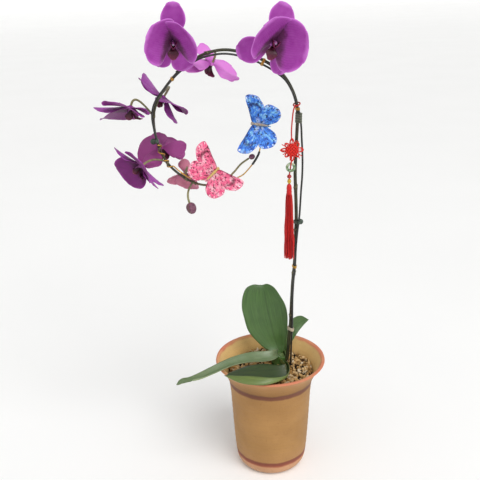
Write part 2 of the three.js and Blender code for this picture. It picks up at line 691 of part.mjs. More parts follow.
// Gold wire: twisted round the spike at the hoop's left, then along it to both butterflies.
const goldRadius = 0.7;
const goldSides = 4;
const goldSteps = 84;
const goldTwist = { from: 30.2, to: 32.2, turns: 3.25, away: 2.5, steps: 26 };
const goldRoute = [
  [-98, 4.6, 373.5], [-88, 4.6, 366.4], [-78, 4.4, 363.6], [-68, 4.2, 363], [-57, 4, 361.8],
  [-46, 3.8, 361.6], [-36, 4, 364.2], [-28.5, 4.4, 367.4], [-22.5, 4.8, 373], [-17, 5, 379.6],
  [-12.6, 5, 386], [-9.6, 5, 392.5], [-8.3, 5, 400], [-8.6, 5.2, 410], [-9.4, 5.4, 424],
];
const twistPoints = Array.from({ length: goldTwist.steps }, (_, k) => {
  const share = k / (goldTwist.steps - 1);
  const station = goldTwist.from + share * (goldTwist.to - goldTwist.from);
  const { at, outward } = spikeStation(station);
  const angle = Math.PI / 2 + 2 * Math.PI * goldTwist.turns * share;
  return at
    .addScaledVector(outward, goldTwist.away * Math.cos(angle))
    .addScaledVector(point(0, -1, 0), goldTwist.away * Math.sin(angle));
});
const goldCurve = new THREE.CatmullRomCurve3([
  ...twistPoints,
  ...goldRoute.map((row) => point(...row)),
]);
const makeGold = (grow) => solidOf(tube(goldCurve, () => goldRadius + grow, goldSides, goldSteps));
const gold = tidied(makeGold(0).subtract(spikeGrown).subtract(wireGrown));
addPart("decor_wire", gold, brassWire);
const goldGrown = makeGold(gap);

// Butterflies: craft ones, each with a sheet of wings on a boss that the gold wire runs through,
// and a body glued on its front. Their frame is +X towards the head and +Z to the viewer.
const foreWing = [
  [6.5, 1.2], [9.5, 6], [13, 15], [19, 29], [19.5, 33], [15, 35.5], [7.5, 34.5], [2.5, 30], [-1.2, 25],
];
const hindWing = [
  [-5, 26.5], [-12, 26], [-18.5, 22], [-21, 15.5], [-19, 9], [-13.5, 4.5], [-7, 1.2],
];
const wingThickness = 0.8;
const wingHinge = 1.2; // how far from the middle line a wing folds up
const spineSize = [20, 2.4, wingThickness];
const spineShift = -3;
const post = { radius: 2.2, length: 8, facets: 10 };
const torsoRows = [[0.7, -9], [1.1, -4], [1.5, 3], [1.1, 6], [1.8, 7.6], [1.5, 9]];
const torsoRadius = 1.5;
const torsoLength = 19;
const torsoFacets = 8;
const butterflies = [
  { name: "butterfly_blue", at: [-9.3, 1.6, 423], head: [-0.984, 0, 0.175], face: [0.05, -1, 0.42],
    lift: [6, 42], boss: 0, wings: blueWing, body: bodyBrown },
  { name: "butterfly_pink", at: [-60.5, -0.4, 371.5], head: [0.722, 0, 0.69], face: [0, -1, 0.2],
    lift: [14, 22], boss: -11, wings: pinkWing, body: bodyGold },
];

function wingSheet(side, lift) {
  const outline = [...foreWing, ...hindWing].map(([h, s]) => new THREE.Vector2(h, side * s));
  const shape = new THREE.Shape(side > 0 ? outline : outline.reverse());
  const sheet = new THREE.ExtrudeGeometry(shape, { depth: wingThickness, bevelEnabled: false });
  sheet.translate(0, -side * wingHinge, -wingThickness / 2);
  return sheet.rotateX(side * radians(lift));
}

function torsoSolid(grow) {
  const end = torsoLength / 2 + grow;
  const profile = [[0, -end], ...torsoRows.map(([r, z]) => [r + grow, z]), [0, end]];
  const torso = lathe(profile, torsoFacets);
  torso.rotateY(Math.PI / 2).translate(0, 0, wingThickness / 2 + gap + torsoRadius);
  return solidOf(torso);
}

function makeButterfly({ name, at, head, face, lift, boss, wings, body }) {
  const frame = new THREE.Group();
  const x = point(...head).normalize();
  const z = point(...face);
  z.addScaledVector(x, -z.dot(x)).normalize();
  frame.applyMatrix4(
    new THREE.Matrix4().makeBasis(x, z.clone().cross(x), z).setPosition(point(...at)),
  );
  plant.add(frame);
  const spine = new THREE.BoxGeometry(...spineSize).translate(spineShift, 0, 0);
  const stud = new THREE.CylinderGeometry(post.radius, post.radius, post.length, post.facets);
  stud.rotateX(Math.PI / 2).translate(boss, 0, -post.length / 2);
  const wireHere = goldGrown.transform(frame.matrix.clone().invert().elements);
  const sheet = joined([wingSheet(1, lift[0]), wingSheet(-1, lift[1]), spine, stud]);
  const seat = torsoSolid(gap);
  addPart(`${name}_wings`, tidied(sheet.subtract(wireHere).subtract(seat)), wings, frame);
  addPart(`${name}_body`, torsoSolid(0), body, frame);
}
butterflies.forEach(makeButterfly);

// Tassel: a cord looped round both stems, a knot with loops, a stone ring, two beads and a skirt.
const cordRadius = 0.75;
const cordSides = 5;
const hangY = -2;
const cordLoop = {
  centre: [31.4, 6.5, 443.6], reach: [3.5, 4.6], slope: 1.4, turned: 4, points: 12, steps: 16,
};
const strandRoute = [
  [29.6, 2.7, 443.2], [27.6, 0.4, 438.6], [26, hangY, 428], [25.2, hangY, 417], [25.3, hangY, 406.5],
];
const strandSteps = 10;
const lowerRoute = [
  [25.4, hangY, 388.6], [25, hangY - 1.4, 385], [24.6, hangY - 2.8, 381.4],
  [24.2, hangY, 376.4], [23.8, hangY + 2.8, 371.6], [22.9, hangY, 367.8],
  [22.8, hangY, 362], [22.7, hangY, 354],
];
const lowerSteps = 20;

function makeHangingCord(grow) {
  const [x, y, z] = cordLoop.centre;
  const route = Array.from({ length: cordLoop.points }, (_, i) => {
    const angle = (2 * Math.PI * i) / cordLoop.points;
    return point(
      x + cordLoop.reach[0] * Math.cos(angle),
      y + cordLoop.reach[1] * Math.sin(angle),
      z - cordLoop.slope * Math.cos(angle - cordLoop.turned),
    );
  });
  const loop = new THREE.TubeGeometry(
    new THREE.CatmullRomCurve3(route, true), cordLoop.steps, cordRadius + grow, cordSides, true,
  );
  const strand = tube(curveThrough(strandRoute), () => cordRadius + grow, cordSides, strandSteps);
  return joined([loop, strand]);
}
addPart("tassel_cord", tidied(makeHangingCord(0)), redSilk);

const lowerCord = curveThrough(lowerRoute);
const makeLowerCord = (grow) => solidOf(tube(lowerCord, () => cordRadius + grow, cordSides, lowerSteps));
addPart("tassel_lower_cord", makeLowerCord(0), redSilk);
const lowerCordGrown = makeLowerCord(gap);

// The knot is a flat pad of woven cord with a loop at each of its corners and sides.
const knot = { centre: [25.8, hangY, 395.6], size: [8, 3.2, 8], facets: [10, 5] };
const knotLoops = {
  count: 8, radius: 1.9, thickness: 0.85, facets: [3, 6],
  long: { stretch: 1.8, out: 8.6 }, short: { stretch: 1.25, out: 7.6 },
};
function makeKnot() {
  const core = new THREE.SphereGeometry(1, ...knot.facets).scale(...knot.size);
  core.translate(...knot.centre);
  const loops = Array.from({ length: knotLoops.count }, (_, i) => {
    const { stretch, out } = i % 2 === 0 ? knotLoops.long : knotLoops.short;
    const loop = new THREE.TorusGeometry(knotLoops.radius, knotLoops.thickness, ...knotLoops.facets);
    loop.scale(stretch, 1, 1).translate(out, 0, 0);
    loop.rotateZ((2 * Math.PI * i) / knotLoops.count).rotateX(Math.PI / 2);
    return loop.translate(...knot.centre);
  });
  return joined([core, ...loops]);
}
const cordCuts = makeHangingCord(gap).add(lowerCordGrown);
addPart("tassel_knot", tidied(makeKnot().subtract(cordCuts), coarseSliver), redSilk);

const stoneRing = { centre: [24.4, hangY, 376.4], radius: 4, thickness: 1.5, facets: [6, 14] };
const ring = new THREE.TorusGeometry(stoneRing.radius, stoneRing.thickness, ...stoneRing.facets);
ring.rotateX(Math.PI / 2).translate(...stoneRing.centre);
addPart("tassel_ring", tidied(solidOf(ring).subtract(lowerCordGrown)), jade);

// The two beads are threaded on the lower cord.
const beadX = 22.8;
const beadFacets = [8, 5];
const beads = [
  { name: "tassel_bead_red", z: 366.2, radius: 2.5, length: 4.6, material: redSilk },
  { name: "tassel_bead_gold", z: 360.7, radius: 2.1, length: 5, material: goldBead },
];
for (const { name, z, radius, length, material } of beads) {
  const bead = new THREE.SphereGeometry(1, ...beadFacets).rotateX(Math.PI / 2);
  bead.scale(radius, radius, length / 2).translate(beadX, hangY, z);
  addPart(name, tidied(solidOf(bead).subtract(lowerCordGrown)), material);
}

// The skirt is a bundle of hanging threads, drawn as a fluted cone, flatter from front to back,
// that drifts a little to one side. Its profile is [share of the length, half its width, half its
// depth], and its head above the flutes is round.
const skirt = {
  top: [22.7, hangY, 357.4], length: 88, drift: 0.8, flutes: 10, fluteDepth: 0.84, headRows: 4, ragged: 1.5,
  profile: [
    [0, 1.7, 1.7], [0.02, 2.6, 2.6], [0.06, 3, 3], [0.1, 2.8, 2.7], [0.14, 4.4, 3.4],
    [0.5, 6, 4], [1, 6.6, 4.3],
  ],
};
function makeSkirt() {
  const [x, y, z] = skirt.top;
  const rings = skirt.profile.map(([share, across, deep], row) =>
    Array.from({ length: 2 * skirt.flutes }, (_, j) => {
      const angle = (Math.PI * j) / skirt.flutes;
      const r = j % 2 === 0 || row < skirt.headRows ? 1 : skirt.fluteDepth;
      const ragged = share === 1 ? skirt.ragged * Math.sin(2.3 * j) : 0;
      return point(
        x + r * across * Math.cos(angle) + skirt.drift * share,
        y - r * deep * Math.sin(angle),
        z - share * skirt.length + ragged,
      );
    }),
  );
  return solidOf(loft(rings));
}
addPart("tassel_skirt", tidied(makeSkirt().subtract(lowerCordGrown)), redSilk);

export default plant;
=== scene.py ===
# A potted doritaenopsis orchid. Its spike is tied to a wire stake that is bent into a hoop, and the
# hoop carries two craft butterflies and a red knot tassel.
# The tables are in millimetres, as on a drawing. Blender gets metres, with +Z up.
import functools
import math
import random

import bpy
import numpy as np
from mathutils import Matrix, Vector


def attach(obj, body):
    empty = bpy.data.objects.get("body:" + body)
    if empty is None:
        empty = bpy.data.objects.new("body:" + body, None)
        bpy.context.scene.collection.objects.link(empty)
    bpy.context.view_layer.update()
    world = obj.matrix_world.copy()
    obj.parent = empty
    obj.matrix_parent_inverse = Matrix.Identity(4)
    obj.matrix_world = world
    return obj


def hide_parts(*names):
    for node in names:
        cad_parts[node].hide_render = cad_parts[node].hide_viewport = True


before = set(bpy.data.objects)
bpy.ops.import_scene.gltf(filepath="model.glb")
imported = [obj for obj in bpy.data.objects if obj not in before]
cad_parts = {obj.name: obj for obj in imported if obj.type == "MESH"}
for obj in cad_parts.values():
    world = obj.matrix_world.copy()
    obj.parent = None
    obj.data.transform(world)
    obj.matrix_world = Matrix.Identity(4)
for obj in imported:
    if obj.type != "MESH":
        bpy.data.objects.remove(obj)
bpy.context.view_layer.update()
mm = 0.001
print("frame loaded")


def addObject(name, data):
    thing = bpy.data.objects.new(name, data)
    bpy.context.scene.collection.objects.link(thing)
    return thing


# The camera stands where the photographer stood

camera = {
    "at": (-33, -750, 558.4), "down": 19.5, "roll": -1.4, "lens": 52.5, "sensor": 36.0, "clip": (0.01, 200),
}


def makeCamera(at, down, roll, lens, sensor, clip):
    pitch, tilt = math.radians(down), math.radians(roll)
    forward = Vector((0, math.cos(pitch), -math.sin(pitch)))
    across = Vector((1, 0, 0))
    above = across.cross(forward)
    right = across * math.cos(tilt) + above * math.sin(tilt)
    up = above * math.cos(tilt) - across * math.sin(tilt)
    data = bpy.data.cameras.new("camera")
    data.lens, data.sensor_width = lens, sensor
    data.clip_start, data.clip_end = clip
    eye = addObject("camera", data)
    turn = Matrix((right, up, -forward)).transposed().to_4x4()
    eye.matrix_world = Matrix.Translation(Vector(at) * mm) @ turn
    bpy.context.scene.camera = eye


makeCamera(**camera)
print("camera made")

# Curves

def hermite(a, leave, b, arrive, t):
    # the cubic from a to b with the given slopes at its ends
    t2, t3 = t * t, t * t * t
    return (2 * t3 - 3 * t2 + 1) * a + (t3 - 2 * t2 + t) * leave + (3 * t2 - 2 * t3) * b + (t3 - t2) * arrive


def curvePoint(points, place, closed=False):
    # a point on the smooth curve through points, place counting from one point to the next
    count = len(points)
    first = min(int(math.floor(place)), count - (1 if closed else 2))
    if closed:
        p0, p1, p2, p3 = (points[(first + k) % count] for k in (-1, 0, 1, 2))
    else:
        p1, p2 = points[first], points[first + 1]
        p0 = points[first - 1] if first > 0 else 2 * p1 - p2
        p3 = points[first + 2] if first + 2 < count else 2 * p2 - p1
    d0, d1, d2 = (math.sqrt(np.linalg.norm(b - a)) for a, b in ((p0, p1), (p1, p2), (p2, p3)))
    m1 = ((p1 - p0) / d0 - (p2 - p0) / (d0 + d1) + (p2 - p1) / d1) * d1
    m2 = ((p2 - p1) / d1 - (p3 - p1) / (d1 + d2) + (p3 - p2) / d2) * d1
    return hermite(p1, m1, p2, m2, place - first)


def runAlong(path):
    # how far each point of a path is from its start, along the path
    return np.concatenate([[0], np.cumsum(np.linalg.norm(np.diff(path, axis=0), axis=1))])


def evenPath(rows, count, closed=False):
    # count points at even steps along the smooth curve through rows
    points = np.array(rows, float)
    spans = len(points) if closed else len(points) - 1
    places = np.linspace(0, spans, 16 * spans + 1)
    dense = np.array([curvePoint(points, min(p, spans - 1e-9), closed) for p in places])
    run = runAlong(dense)
    steps = np.linspace(0, run[-1], count, endpoint=not closed)
    return np.stack([np.interp(steps, run, dense[:, k]) for k in range(3)], axis=1)


def evenProfile(rows, count):
    # the same as evenPath for rows of a radius and a height
    return evenPath([(r, 0, z) for r, z in rows], count)[:, [0, 2]]


def aroundCircle(count):
    return np.linspace(0, 2 * math.pi, count, endpoint=False)


def fromTable(rows, u):
    # the value at u of a smooth curve through [u, value] rows
    last = len(rows) - 1
    i = 0
    while i < last - 1 and u > rows[i + 1][0]:
        i += 1

    def slope(j):
        before, after = rows[max(j - 1, 0)], rows[min(j + 1, last)]
        return (after[1] - before[1]) / (after[0] - before[0])

    (u0, a), (u1, b) = rows[i], rows[i + 1]
    h = u1 - u0
    return hermite(a, h * slope(i), b, h * slope(i + 1), min(max((u - u0) / h, 0), 1))


def unit(v):
    v = np.array(v, float)
    return v / np.linalg.norm(v)


# Shapes: points, faces, a surface coordinate for each face corner, and marks for each point

def gridShape(grid, closed=False, loop=False, caps=False, along=None):
    rows, columns = grid.shape[:2]
    points = grid.reshape(-1, 3)
    along = np.linspace(0, 1, rows + 1) if along is None else np.append(along, along[-1])
    across = columns if closed else columns - 1
    faces, uv = [], []
    for i in range(rows if loop else rows - 1):
        for j in range(across):
            a, b = i * columns, ((i + 1) % rows) * columns
            k = (j + 1) % columns
            faces.append((a + j, a + k, b + k, b + j))
            low, high = j / across, (j + 1) / across
            uv.append(((along[i], low), (along[i], high), (along[i + 1], high), (along[i + 1], low)))
    if caps:
        points = np.vstack([points, grid[0].mean(0), grid[-1].mean(0)])
        for row, centre in ((0, rows * columns), (rows - 1, rows * columns + 1)):
            for j in range(columns):
                a, b = row * columns + j, row * columns + (j + 1) % columns
                faces.append((centre, b, a) if row == 0 else (centre, a, b))
                uv.append(((along[row], (j + 0.5) / columns),) * 3)
    return {"points": points, "faces": faces, "uv": uv, "marks": {}, "paint": 0}


def bladeShape(middle, thickness):
    # a thin leaf of tissue with a front, a back and an edge
    rows, columns = middle.shape[:2]
    normal = np.cross(np.gradient(middle, axis=1), np.gradient(middle, axis=0))
    normal /= np.maximum(np.linalg.norm(normal, axis=2, keepdims=True), 1e-9)
    half = 0.5 * np.broadcast_to(thickness, (rows, columns))[..., None] * normal
    count = rows * columns
    points = np.concatenate([(middle + half).reshape(-1, 3), (middle - half).reshape(-1, 3)])
    place = [(i / (rows - 1), j / (columns - 1)) for i in range(rows) for j in range(columns)] * 2
    faces = []
    for i in range(rows - 1):
        for j in range(columns - 1):
            a = i * columns + j
            face = (a, a + 1, a + columns + 1, a + columns)
            faces.append(face)
            faces.append(tuple(count + k for k in reversed(face)))
    border = list(range(columns - 1))
    border += [i * columns + columns - 1 for i in range(rows - 1)]
    border += [(rows - 1) * columns + j for j in range(columns - 1, 0, -1)]
    border += [i * columns for i in range(rows - 1, 0, -1)]
    for a, b in zip(border, border[1:] + border[:1]):
        faces.append((a, a + count, b + count, b))
    uv = [[place[k] for k in face] for face in faces]
    back = np.concatenate([np.zeros(count), np.ones(count)])
    return {"points": points, "faces": faces, "uv": uv, "marks": {"back": back}, "paint": 0}


def pathFrames(path, closed=False):
    if closed:
        tangents = np.roll(path, -1, axis=0) - np.roll(path, 1, axis=0)
    else:
        tangents = np.gradient(path, axis=0)
    tangents /= np.linalg.norm(tangents, axis=1, keepdims=True)
    spare = np.eye(3)[int(np.argmin(np.abs(tangents[0])))]
    normals = [unit(spare - (spare @ tangents[0]) * tangents[0])]
    for t in tangents[1:]:
        normals.append(unit(normals[-1] - (normals[-1] @ t) * t))
    normals = np.array(normals)
    return tangents, normals, np.cross(tangents, normals)


def tubeShape(path, radius, sides, loop=False):
    # a round tube along a path, with domed ends unless it is a loop
    radius = np.broadcast_to(radius, len(path)).astype(float)
    tangents, normals, binormals = pathFrames(path, loop)
    if not loop:
        reach = np.array((0.995, 0.87, 0.5))
        narrow = np.sqrt(1 - reach**2)
        first = path[0] - np.outer(reach * radius[0], tangents[0])
        last = path[-1] + np.outer(reach[::-1] * radius[-1], tangents[-1])
        path = np.vstack([first, path, last])
        radius = np.concatenate([narrow * radius[0], radius, narrow[::-1] * radius[-1]])
        normals, binormals = (np.pad(n, ((3, 3), (0, 0)), mode="edge") for n in (normals, binormals))
    angles = aroundCircle(sides)[None, :, None]
    ring = np.cos(angles) * normals[:, None] + np.sin(angles) * binormals[:, None]
    grid = path[:, None] + radius[:, None, None] * ring
    run = runAlong(path)
    if loop:
        run = np.append(run, run[-1] + np.linalg.norm(path[0] - path[-1]))
    return gridShape(grid, closed=True, loop=loop, caps=not loop, along=run)


def turnedShape(profile, sides, ripple=None):
    # a profile of [radius, height] rows turned about Z, closed by a fan at each end
    angles = aroundCircle(sides)
    rows = []
    for radius, height in profile:
        r = radius * (np.ones(sides) if ripple is None else ripple(angles, height))
        rows.append(np.stack([r * np.cos(angles), r * np.sin(angles), height * np.ones(sides)], axis=1))
    return gridShape(np.array(rows), closed=True, caps=True)


def ballShape(radii, centre=(0, 0, 0), sides=20, rows=12):
    pole = 0.12  # the angle at each pole that the fan closes
    profile = [(math.sin(a), -math.cos(a)) for a in np.linspace(pole, math.pi - pole, rows)]
    shape = turnedShape(profile, sides)
    return {**shape, "points": shape["points"] * np.array(radii) + np.array(centre)}


def discGrid(radii, spokes):
    # the points and faces of flat rings about the origin
    points = [(r * math.cos(a), r * math.sin(a), 0) for r in radii for a in aroundCircle(spokes)]
    faces = []
    for i in range(len(radii) - 1):
        for j in range(spokes):
            k = (j + 1) % spokes
            faces.append((i * spokes + j, (i + 1) * spokes + j, (i + 1) * spokes + k, i * spokes + k))
    return np.array(points), faces


def shifted(shape, place):
    return {**shape, "points": shape["points"] + np.array(place)}


def moved(shape, matrix):
    # matrix is a 3 x 3 turn and a place, as from basis()
    turn, place = matrix
    return {**shape, "points": shape["points"] @ np.array(turn).T + np.array(place)}


def basis(x, y, z, place=(0, 0, 0)):
    return np.stack([x, y, z], axis=1), np.array(place, float)


def turnAbout(axis, degrees):
    # the turn about X, 0, or about Z, 2
    c, s = math.cos(math.radians(degrees)), math.sin(math.radians(degrees))
    return np.roll([[c, -s, 0], [s, c, 0], [0, 0, 1]], axis + 1, axis=(0, 1))


def painted(shape, paint, **marks):
    count = len(shape["points"])
    extra = {name: np.full(count, float(value)) for name, value in marks.items()}
    return {**shape, "paint": paint, "marks": {**shape["marks"], **extra}}


def newMesh(name, points, faces, materials=()):
    mesh = bpy.data.meshes.new(name)
    mesh.from_pydata(np.asarray(points).tolist(), [], faces)
    for material in materials:
        mesh.materials.append(material)
    return mesh


def solidMesh(thing, name):
    # the plain mesh that an object's modifiers give
    bpy.context.view_layer.update()
    mesh = bpy.data.meshes.new_from_object(thing.evaluated_get(bpy.context.evaluated_depsgraph_get()))
    thing.modifiers.clear()
    mesh.name = name
    return mesh


def dress(piece, cadNodes):
    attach(piece, "root")
    if cadNodes:
        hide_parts(*cadNodes)
    return piece


def makePiece(name, shapes, materials, cadNodes=()):
    points, faces, uv, paints = [], [], [], []
    names = sorted({mark for shape in shapes for mark in shape["marks"]})
    marks = {mark: [] for mark in names}
    total = 0
    for shape in shapes:
        count = len(shape["points"])
        points.append(shape["points"])
        faces += [tuple(total + k for k in face) for face in shape["faces"]]
        uv += [corner for face in shape["uv"] for corner in face]
        paints += [shape["paint"]] * len(shape["faces"])
        for mark in names:
            marks[mark].append(shape["marks"].get(mark, np.zeros(count)))
        total += count
    mesh = newMesh(name, np.concatenate(points) * mm, faces, materials)
    mesh.polygons.foreach_set("material_index", paints)
    mesh.shade_smooth()
    mesh.uv_layers.new(name="surface").data.foreach_set("uv", np.array(uv, np.float32).ravel())
    for mark in names:
        values = np.concatenate(marks[mark]).astype(np.float32)
        mesh.attributes.new(mark, "FLOAT", "POINT").data.foreach_set("value", values)
    return dress(addObject(name, mesh), cadNodes)


# Colours, nodes and materials

def linear(code):
    parts = [int(code[i : i + 2], 16) / 255 for i in (1, 3, 5)]
    return (*(p / 12.92 if p <= 0.04045 else ((p + 0.055) / 1.055) ** 2.4 for p in parts), 1.0)


def outputOf(value):
    # a node stands for its first output in use
    return next(out for out in value.outputs if out.enabled) if isinstance(value, bpy.types.Node) else value


def addNode(tree, kind, links=(), stops=(), **settings):
    # A kind may have its operation or its type of data after a dot. A list fills the inputs that are
    # in use in their order, and a dictionary names them. A link is a number, a colour code, a socket
    # or a node. The inputs of a noise are its place, its scale, and its detail where that isn't 2.
    kind, _, choice = kind.partition(".")
    prefixes = ("ShaderNode", "GeometryNode", "FunctionNode", "")
    node = tree.nodes.new(next(p + kind for p in prefixes if hasattr(bpy.types, p + kind)))
    if choice:
        settings["operation" if hasattr(node, "operation") else "data_type"] = choice
    for name, value in settings.items():
        setattr(node, name, value)
    for place, (at, code) in enumerate(stops):
        elements = node.color_ramp.elements
        element = elements[place] if place < 2 else elements.new(at)
        element.position, element.color = at, linear(code)
    inUse = [socket for socket in node.inputs if socket.enabled]
    for key, value in links.items() if isinstance(links, dict) else enumerate(links):
        socket = node.inputs[key] if isinstance(key, str) else inUse[key]
        value = outputOf(value)
        if isinstance(value, bpy.types.NodeSocket):
            tree.links.new(value, socket)
        else:
            socket.default_value = linear(value) if str(value).startswith("#") else value
    return node


def startMaterial(name, sockets):
    # the material, the function that adds a node to it, and the object's own coordinates
    material = bpy.data.materials.new(name)
    material.use_nodes = True
    shader = material.node_tree.nodes["Principled BSDF"]
    for socket, value in sockets.items():
        shader.inputs[socket].default_value = linear(value) if isinstance(value, str) else value
    add = functools.partial(addNode, material.node_tree)
    return material, add, add("TexCoord").outputs["Object"]


def finishMaterial(material, colour, roughness=None, height=None, depth=0.1):
    # depth is the height of the relief in millimetres
    tree = material.node_tree
    shader = tree.nodes["Principled BSDF"]
    bump = addNode(tree, "Bump", {"Height": height, "Distance": depth * mm}) if height else None
    for value, socket in ((colour, "Base Color"), (roughness, "Roughness"), (bump, "Normal")):
        if value:
            tree.links.new(outputOf(value), shader.inputs[socket])
    return material


def makeClouded(name, grain, stops, depth, sockets, detail=2.0, rough=None):
    # One cloud with a grain in millimetres gives the colour, the relief and, where rough says how
    # far it ranges and from where, the roughness.
    material, add, place = startMaterial(name, sockets)
    cloud = add("TexNoise", {"Vector": place, "Scale": 1000 / grain, "Detail": detail})
    rough = add("Math.MULTIPLY_ADD", [cloud, *rough]) if rough else None
    return finishMaterial(material, add("ValToRGB", [cloud], stops), rough, cloud if depth else None, depth)


# Geometry node trees and the meshes that they make

def newTree(name, sizes):
    tree = bpy.data.node_groups.new(name, "GeometryNodeTree")
    sockets = tree.interface
    sockets.new_socket("Geometry", in_out="INPUT", socket_type="NodeSocketGeometry")
    for label, kind in sizes.items():
        sockets.new_socket(label, in_out="INPUT", socket_type=f"NodeSocket{kind}")
    sockets.new_socket("Geometry", in_out="OUTPUT", socket_type="NodeSocketGeometry")
    add = functools.partial(addNode, tree)
    return tree, add, add("NodeGroupInput").outputs


def grow(name, tree, points, faces, values):
    # the plain mesh that a tree makes from a small mesh, in metres
    holder = addObject(f"{name}_holder", newMesh(f"{name}_base", points, faces))
    modifier = holder.modifiers.new(tree.name, "NODES")
    modifier.node_group = tree
    for item in tree.interface.items_tree:
        if item.in_out == "INPUT" and item.name in values:
            modifier[item.identifier] = values[item.name]
    mesh = solidMesh(holder, name)
    bpy.data.objects.remove(holder)
    mesh.shade_smooth()
    return addObject(name, mesh)


# Cords: red rayon cord of the tassel

tasselCords = {
    "radius": 0.75, "sides": 12, "steps": 36,
    "loopCentre": (31.4, 6.5, 443.6), "loopReach": (3.5, 4.6), "loopSag": (1.4, 4),
    "strand": [
        (29.6, 2.7, 443.2), (27.6, 0.4, 438.6), (26, -2, 428), (25.2, -2, 417), (25.3, -2, 406.5),
    ],
    "lower": [
        (25.4, -2, 388.6), (25, -3.4, 385), (24.6, -4.8, 381.4), (24.2, -2, 376.4),
        (23.8, 0.8, 371.6), (22.9, -2, 367.8), (22.8, -2, 362), (22.7, -2, 354), (22.8, -2, 340),
        (22.9, -2, 326),
    ],
}


def makeSilk(name, dark, middle, light):
    # Rayon cord of two twisted plies: painted shade in the groove between them, painted sheen on each crest.
    material, add, _ = startMaterial(name, {"Roughness": 0.45, "IOR": 1.54, "Specular IOR Level": 0.3})
    split = add("SeparateXYZ", [add("UVMap", uv_map="surface")])
    along, around = split.outputs["X"], split.outputs["Y"]
    twist = add("Math.MULTIPLY_ADD", [along, 1 / 2.4, around])  # a turn in 2.4 mm
    wave = add("Math.SINE", [add("Math.MULTIPLY", [twist, 2 * math.pi])])
    plyShadeAndRelief = add("Math.ABSOLUTE", [wave])
    # the ply's wave paints the shade and the sheen into the colour
    colour = add("ValToRGB", [plyShadeAndRelief], [(0.0, dark), (0.4, middle), (1.0, light)])
    return finishMaterial(material, colour, None, plyShadeAndRelief, 0.3)


silkCord = makeSilk("red rayon cord", "#5d080b", "#b01317", "#dc2c26")


def makeCords(radius, sides, steps, loopCentre, loopReach, loopSag, strand, lower):
    (wide, deep), (sag, side) = loopReach, loopSag
    loop = [(wide * math.cos(a), deep * math.sin(a), -sag * math.cos(a - side)) for a in aroundCircle(12)]
    run = evenPath(np.array(loop) + np.array(loopCentre), 60, closed=True)
    makePiece("tasselLoop", [tubeShape(run, radius, sides, loop=True)], [silkCord])
    made = []
    for name, rows, node in (
        ("tasselCord", strand, "tassel_cord"), ("tasselLowerCord", lower, "tassel_lower_cord"),
    ):
        path = evenPath(rows, steps)
        cord = makePiece(name, [tubeShape(path, radius, sides)], [silkCord], [node])
        made.append((cord, path))
    return made


hangingCord, lowerCord = makeCords(**tasselCords)
print("cords made")

# Pot

pot = {
    "height": 142,
    "foot": 33.3,
    "outside": [
        (34, 0), (38.5, 3.5), (41.8, 9), (43.6, 20), (45.6, 46), (47.4, 78), (48.8, 102), (50.6, 115),
        (54, 124), (59, 132.5), (63, 137.5), (65.5, 140.4), (65, 142),
    ],
    "inside": [
        (62, 141.6), (59, 137), (54.6, 130), (49.6, 120), (45.8, 108), (44.2, 90), (42, 60), (40, 24),
        (35, 8),
    ],
    "floor": 8,
    "holes": {"count": 4, "radius": 4, "circle": 22, "sides": 36},
    "ridges": {"depth": 0.1, "pitch": 8.4, "low": 12, "high": 118},
    "sides": 168,
}


def makeStoneware(height):
    # Thrown stoneware with a matt ash glaze: it breaks tan to ochre outside and straw inside, shows
    # faint throwing rings, and its lip and two bands are brushed on in iron red.
    material, add, place = startMaterial("matt stoneware", {"IOR": 1.5, "Specular IOR Level": 0.35})
    z = add("SeparateXYZ", [place]).outputs["Z"]
    brush = add("TexNoise", [place, 1000 / 14, 4.0])
    stray = 1.7 * mm  # of the bands' edges
    wobble = add("Math.MULTIPLY_ADD", [brush, 2 * stray, -stray])
    share = add("Math.MULTIPLY", [add("Math.ADD", [z, wobble]), 1 / (height * mm)])
    # from 0.843 to 0.92 the glaze is painted darker, as the shade under the flared rim
    outside = add("ValToRGB", [share], [  # from the foot to the rim
        (0.0, "#d0a888"), (0.095, "#cb9a76"), (0.107, "#a9624a"), (0.116, "#8d4c3a"), (0.142, "#83483a"),
        (0.152, "#ae8454"), (0.3, "#ad8450"), (0.785, "#ac824e"), (0.795, "#7d4e38"), (0.832, "#714332"),
        (0.843, "#98703f"), (0.92, "#b08452"), (1.0, "#cc9a6c"),
    ])
    inside = add("ValToRGB", [share], [(0.82, "#b08a50"), (0.92, "#e6c080"), (1.0, "#ecca8c")])
    inner = add("Attribute", attribute_name="inside").outputs["Fac"]
    colour = add("Mix.RGBA", [inner, outside, inside])
    pool = add("TexNoise", [place, 1000 / 38, 4.0])
    cloud = add("ValToRGB", [pool], [(0.3, "#d8cdb9"), (0.7, "#fffaf0")])
    colour = add("Mix.RGBA", [0.6, colour, cloud], blend_type="MULTIPLY")
    lip = add("ValToRGB", [share], [(0.979, "#000000"), (0.989, "#ffffff")])
    wear = add("ValToRGB", [pool], [(0.35, "#ffffff"), (0.7, "#a8a8a8")])
    worn = add("Mix.RGBA", [1.0, lip, wear], blend_type="MULTIPLY")
    colour = add("Mix.RGBA", [worn, colour, "#cf7a5c"])
    grit = add("TexNoise", [place, 1000 / 0.9])
    speck = add("ValToRGB", [grit], [(0.62, "#ffffff"), (0.7, "#94775a")])
    colour = add("Mix.RGBA", [0.4, colour, speck], blend_type="MULTIPLY")
    rough = add("Math.MULTIPLY_ADD", [brush, 0.25, 0.48])
    turns = add("Math.MULTIPLY", [z, 2 * math.pi / (4.2 * mm)])  # a throwing ring in 4.2 mm
    rings = add("Math.SINE", [turns])
    relief = add("Math.MULTIPLY_ADD", [rings, 0.25, grit])
    return finishMaterial(material, colour, rough, relief, 0.16)


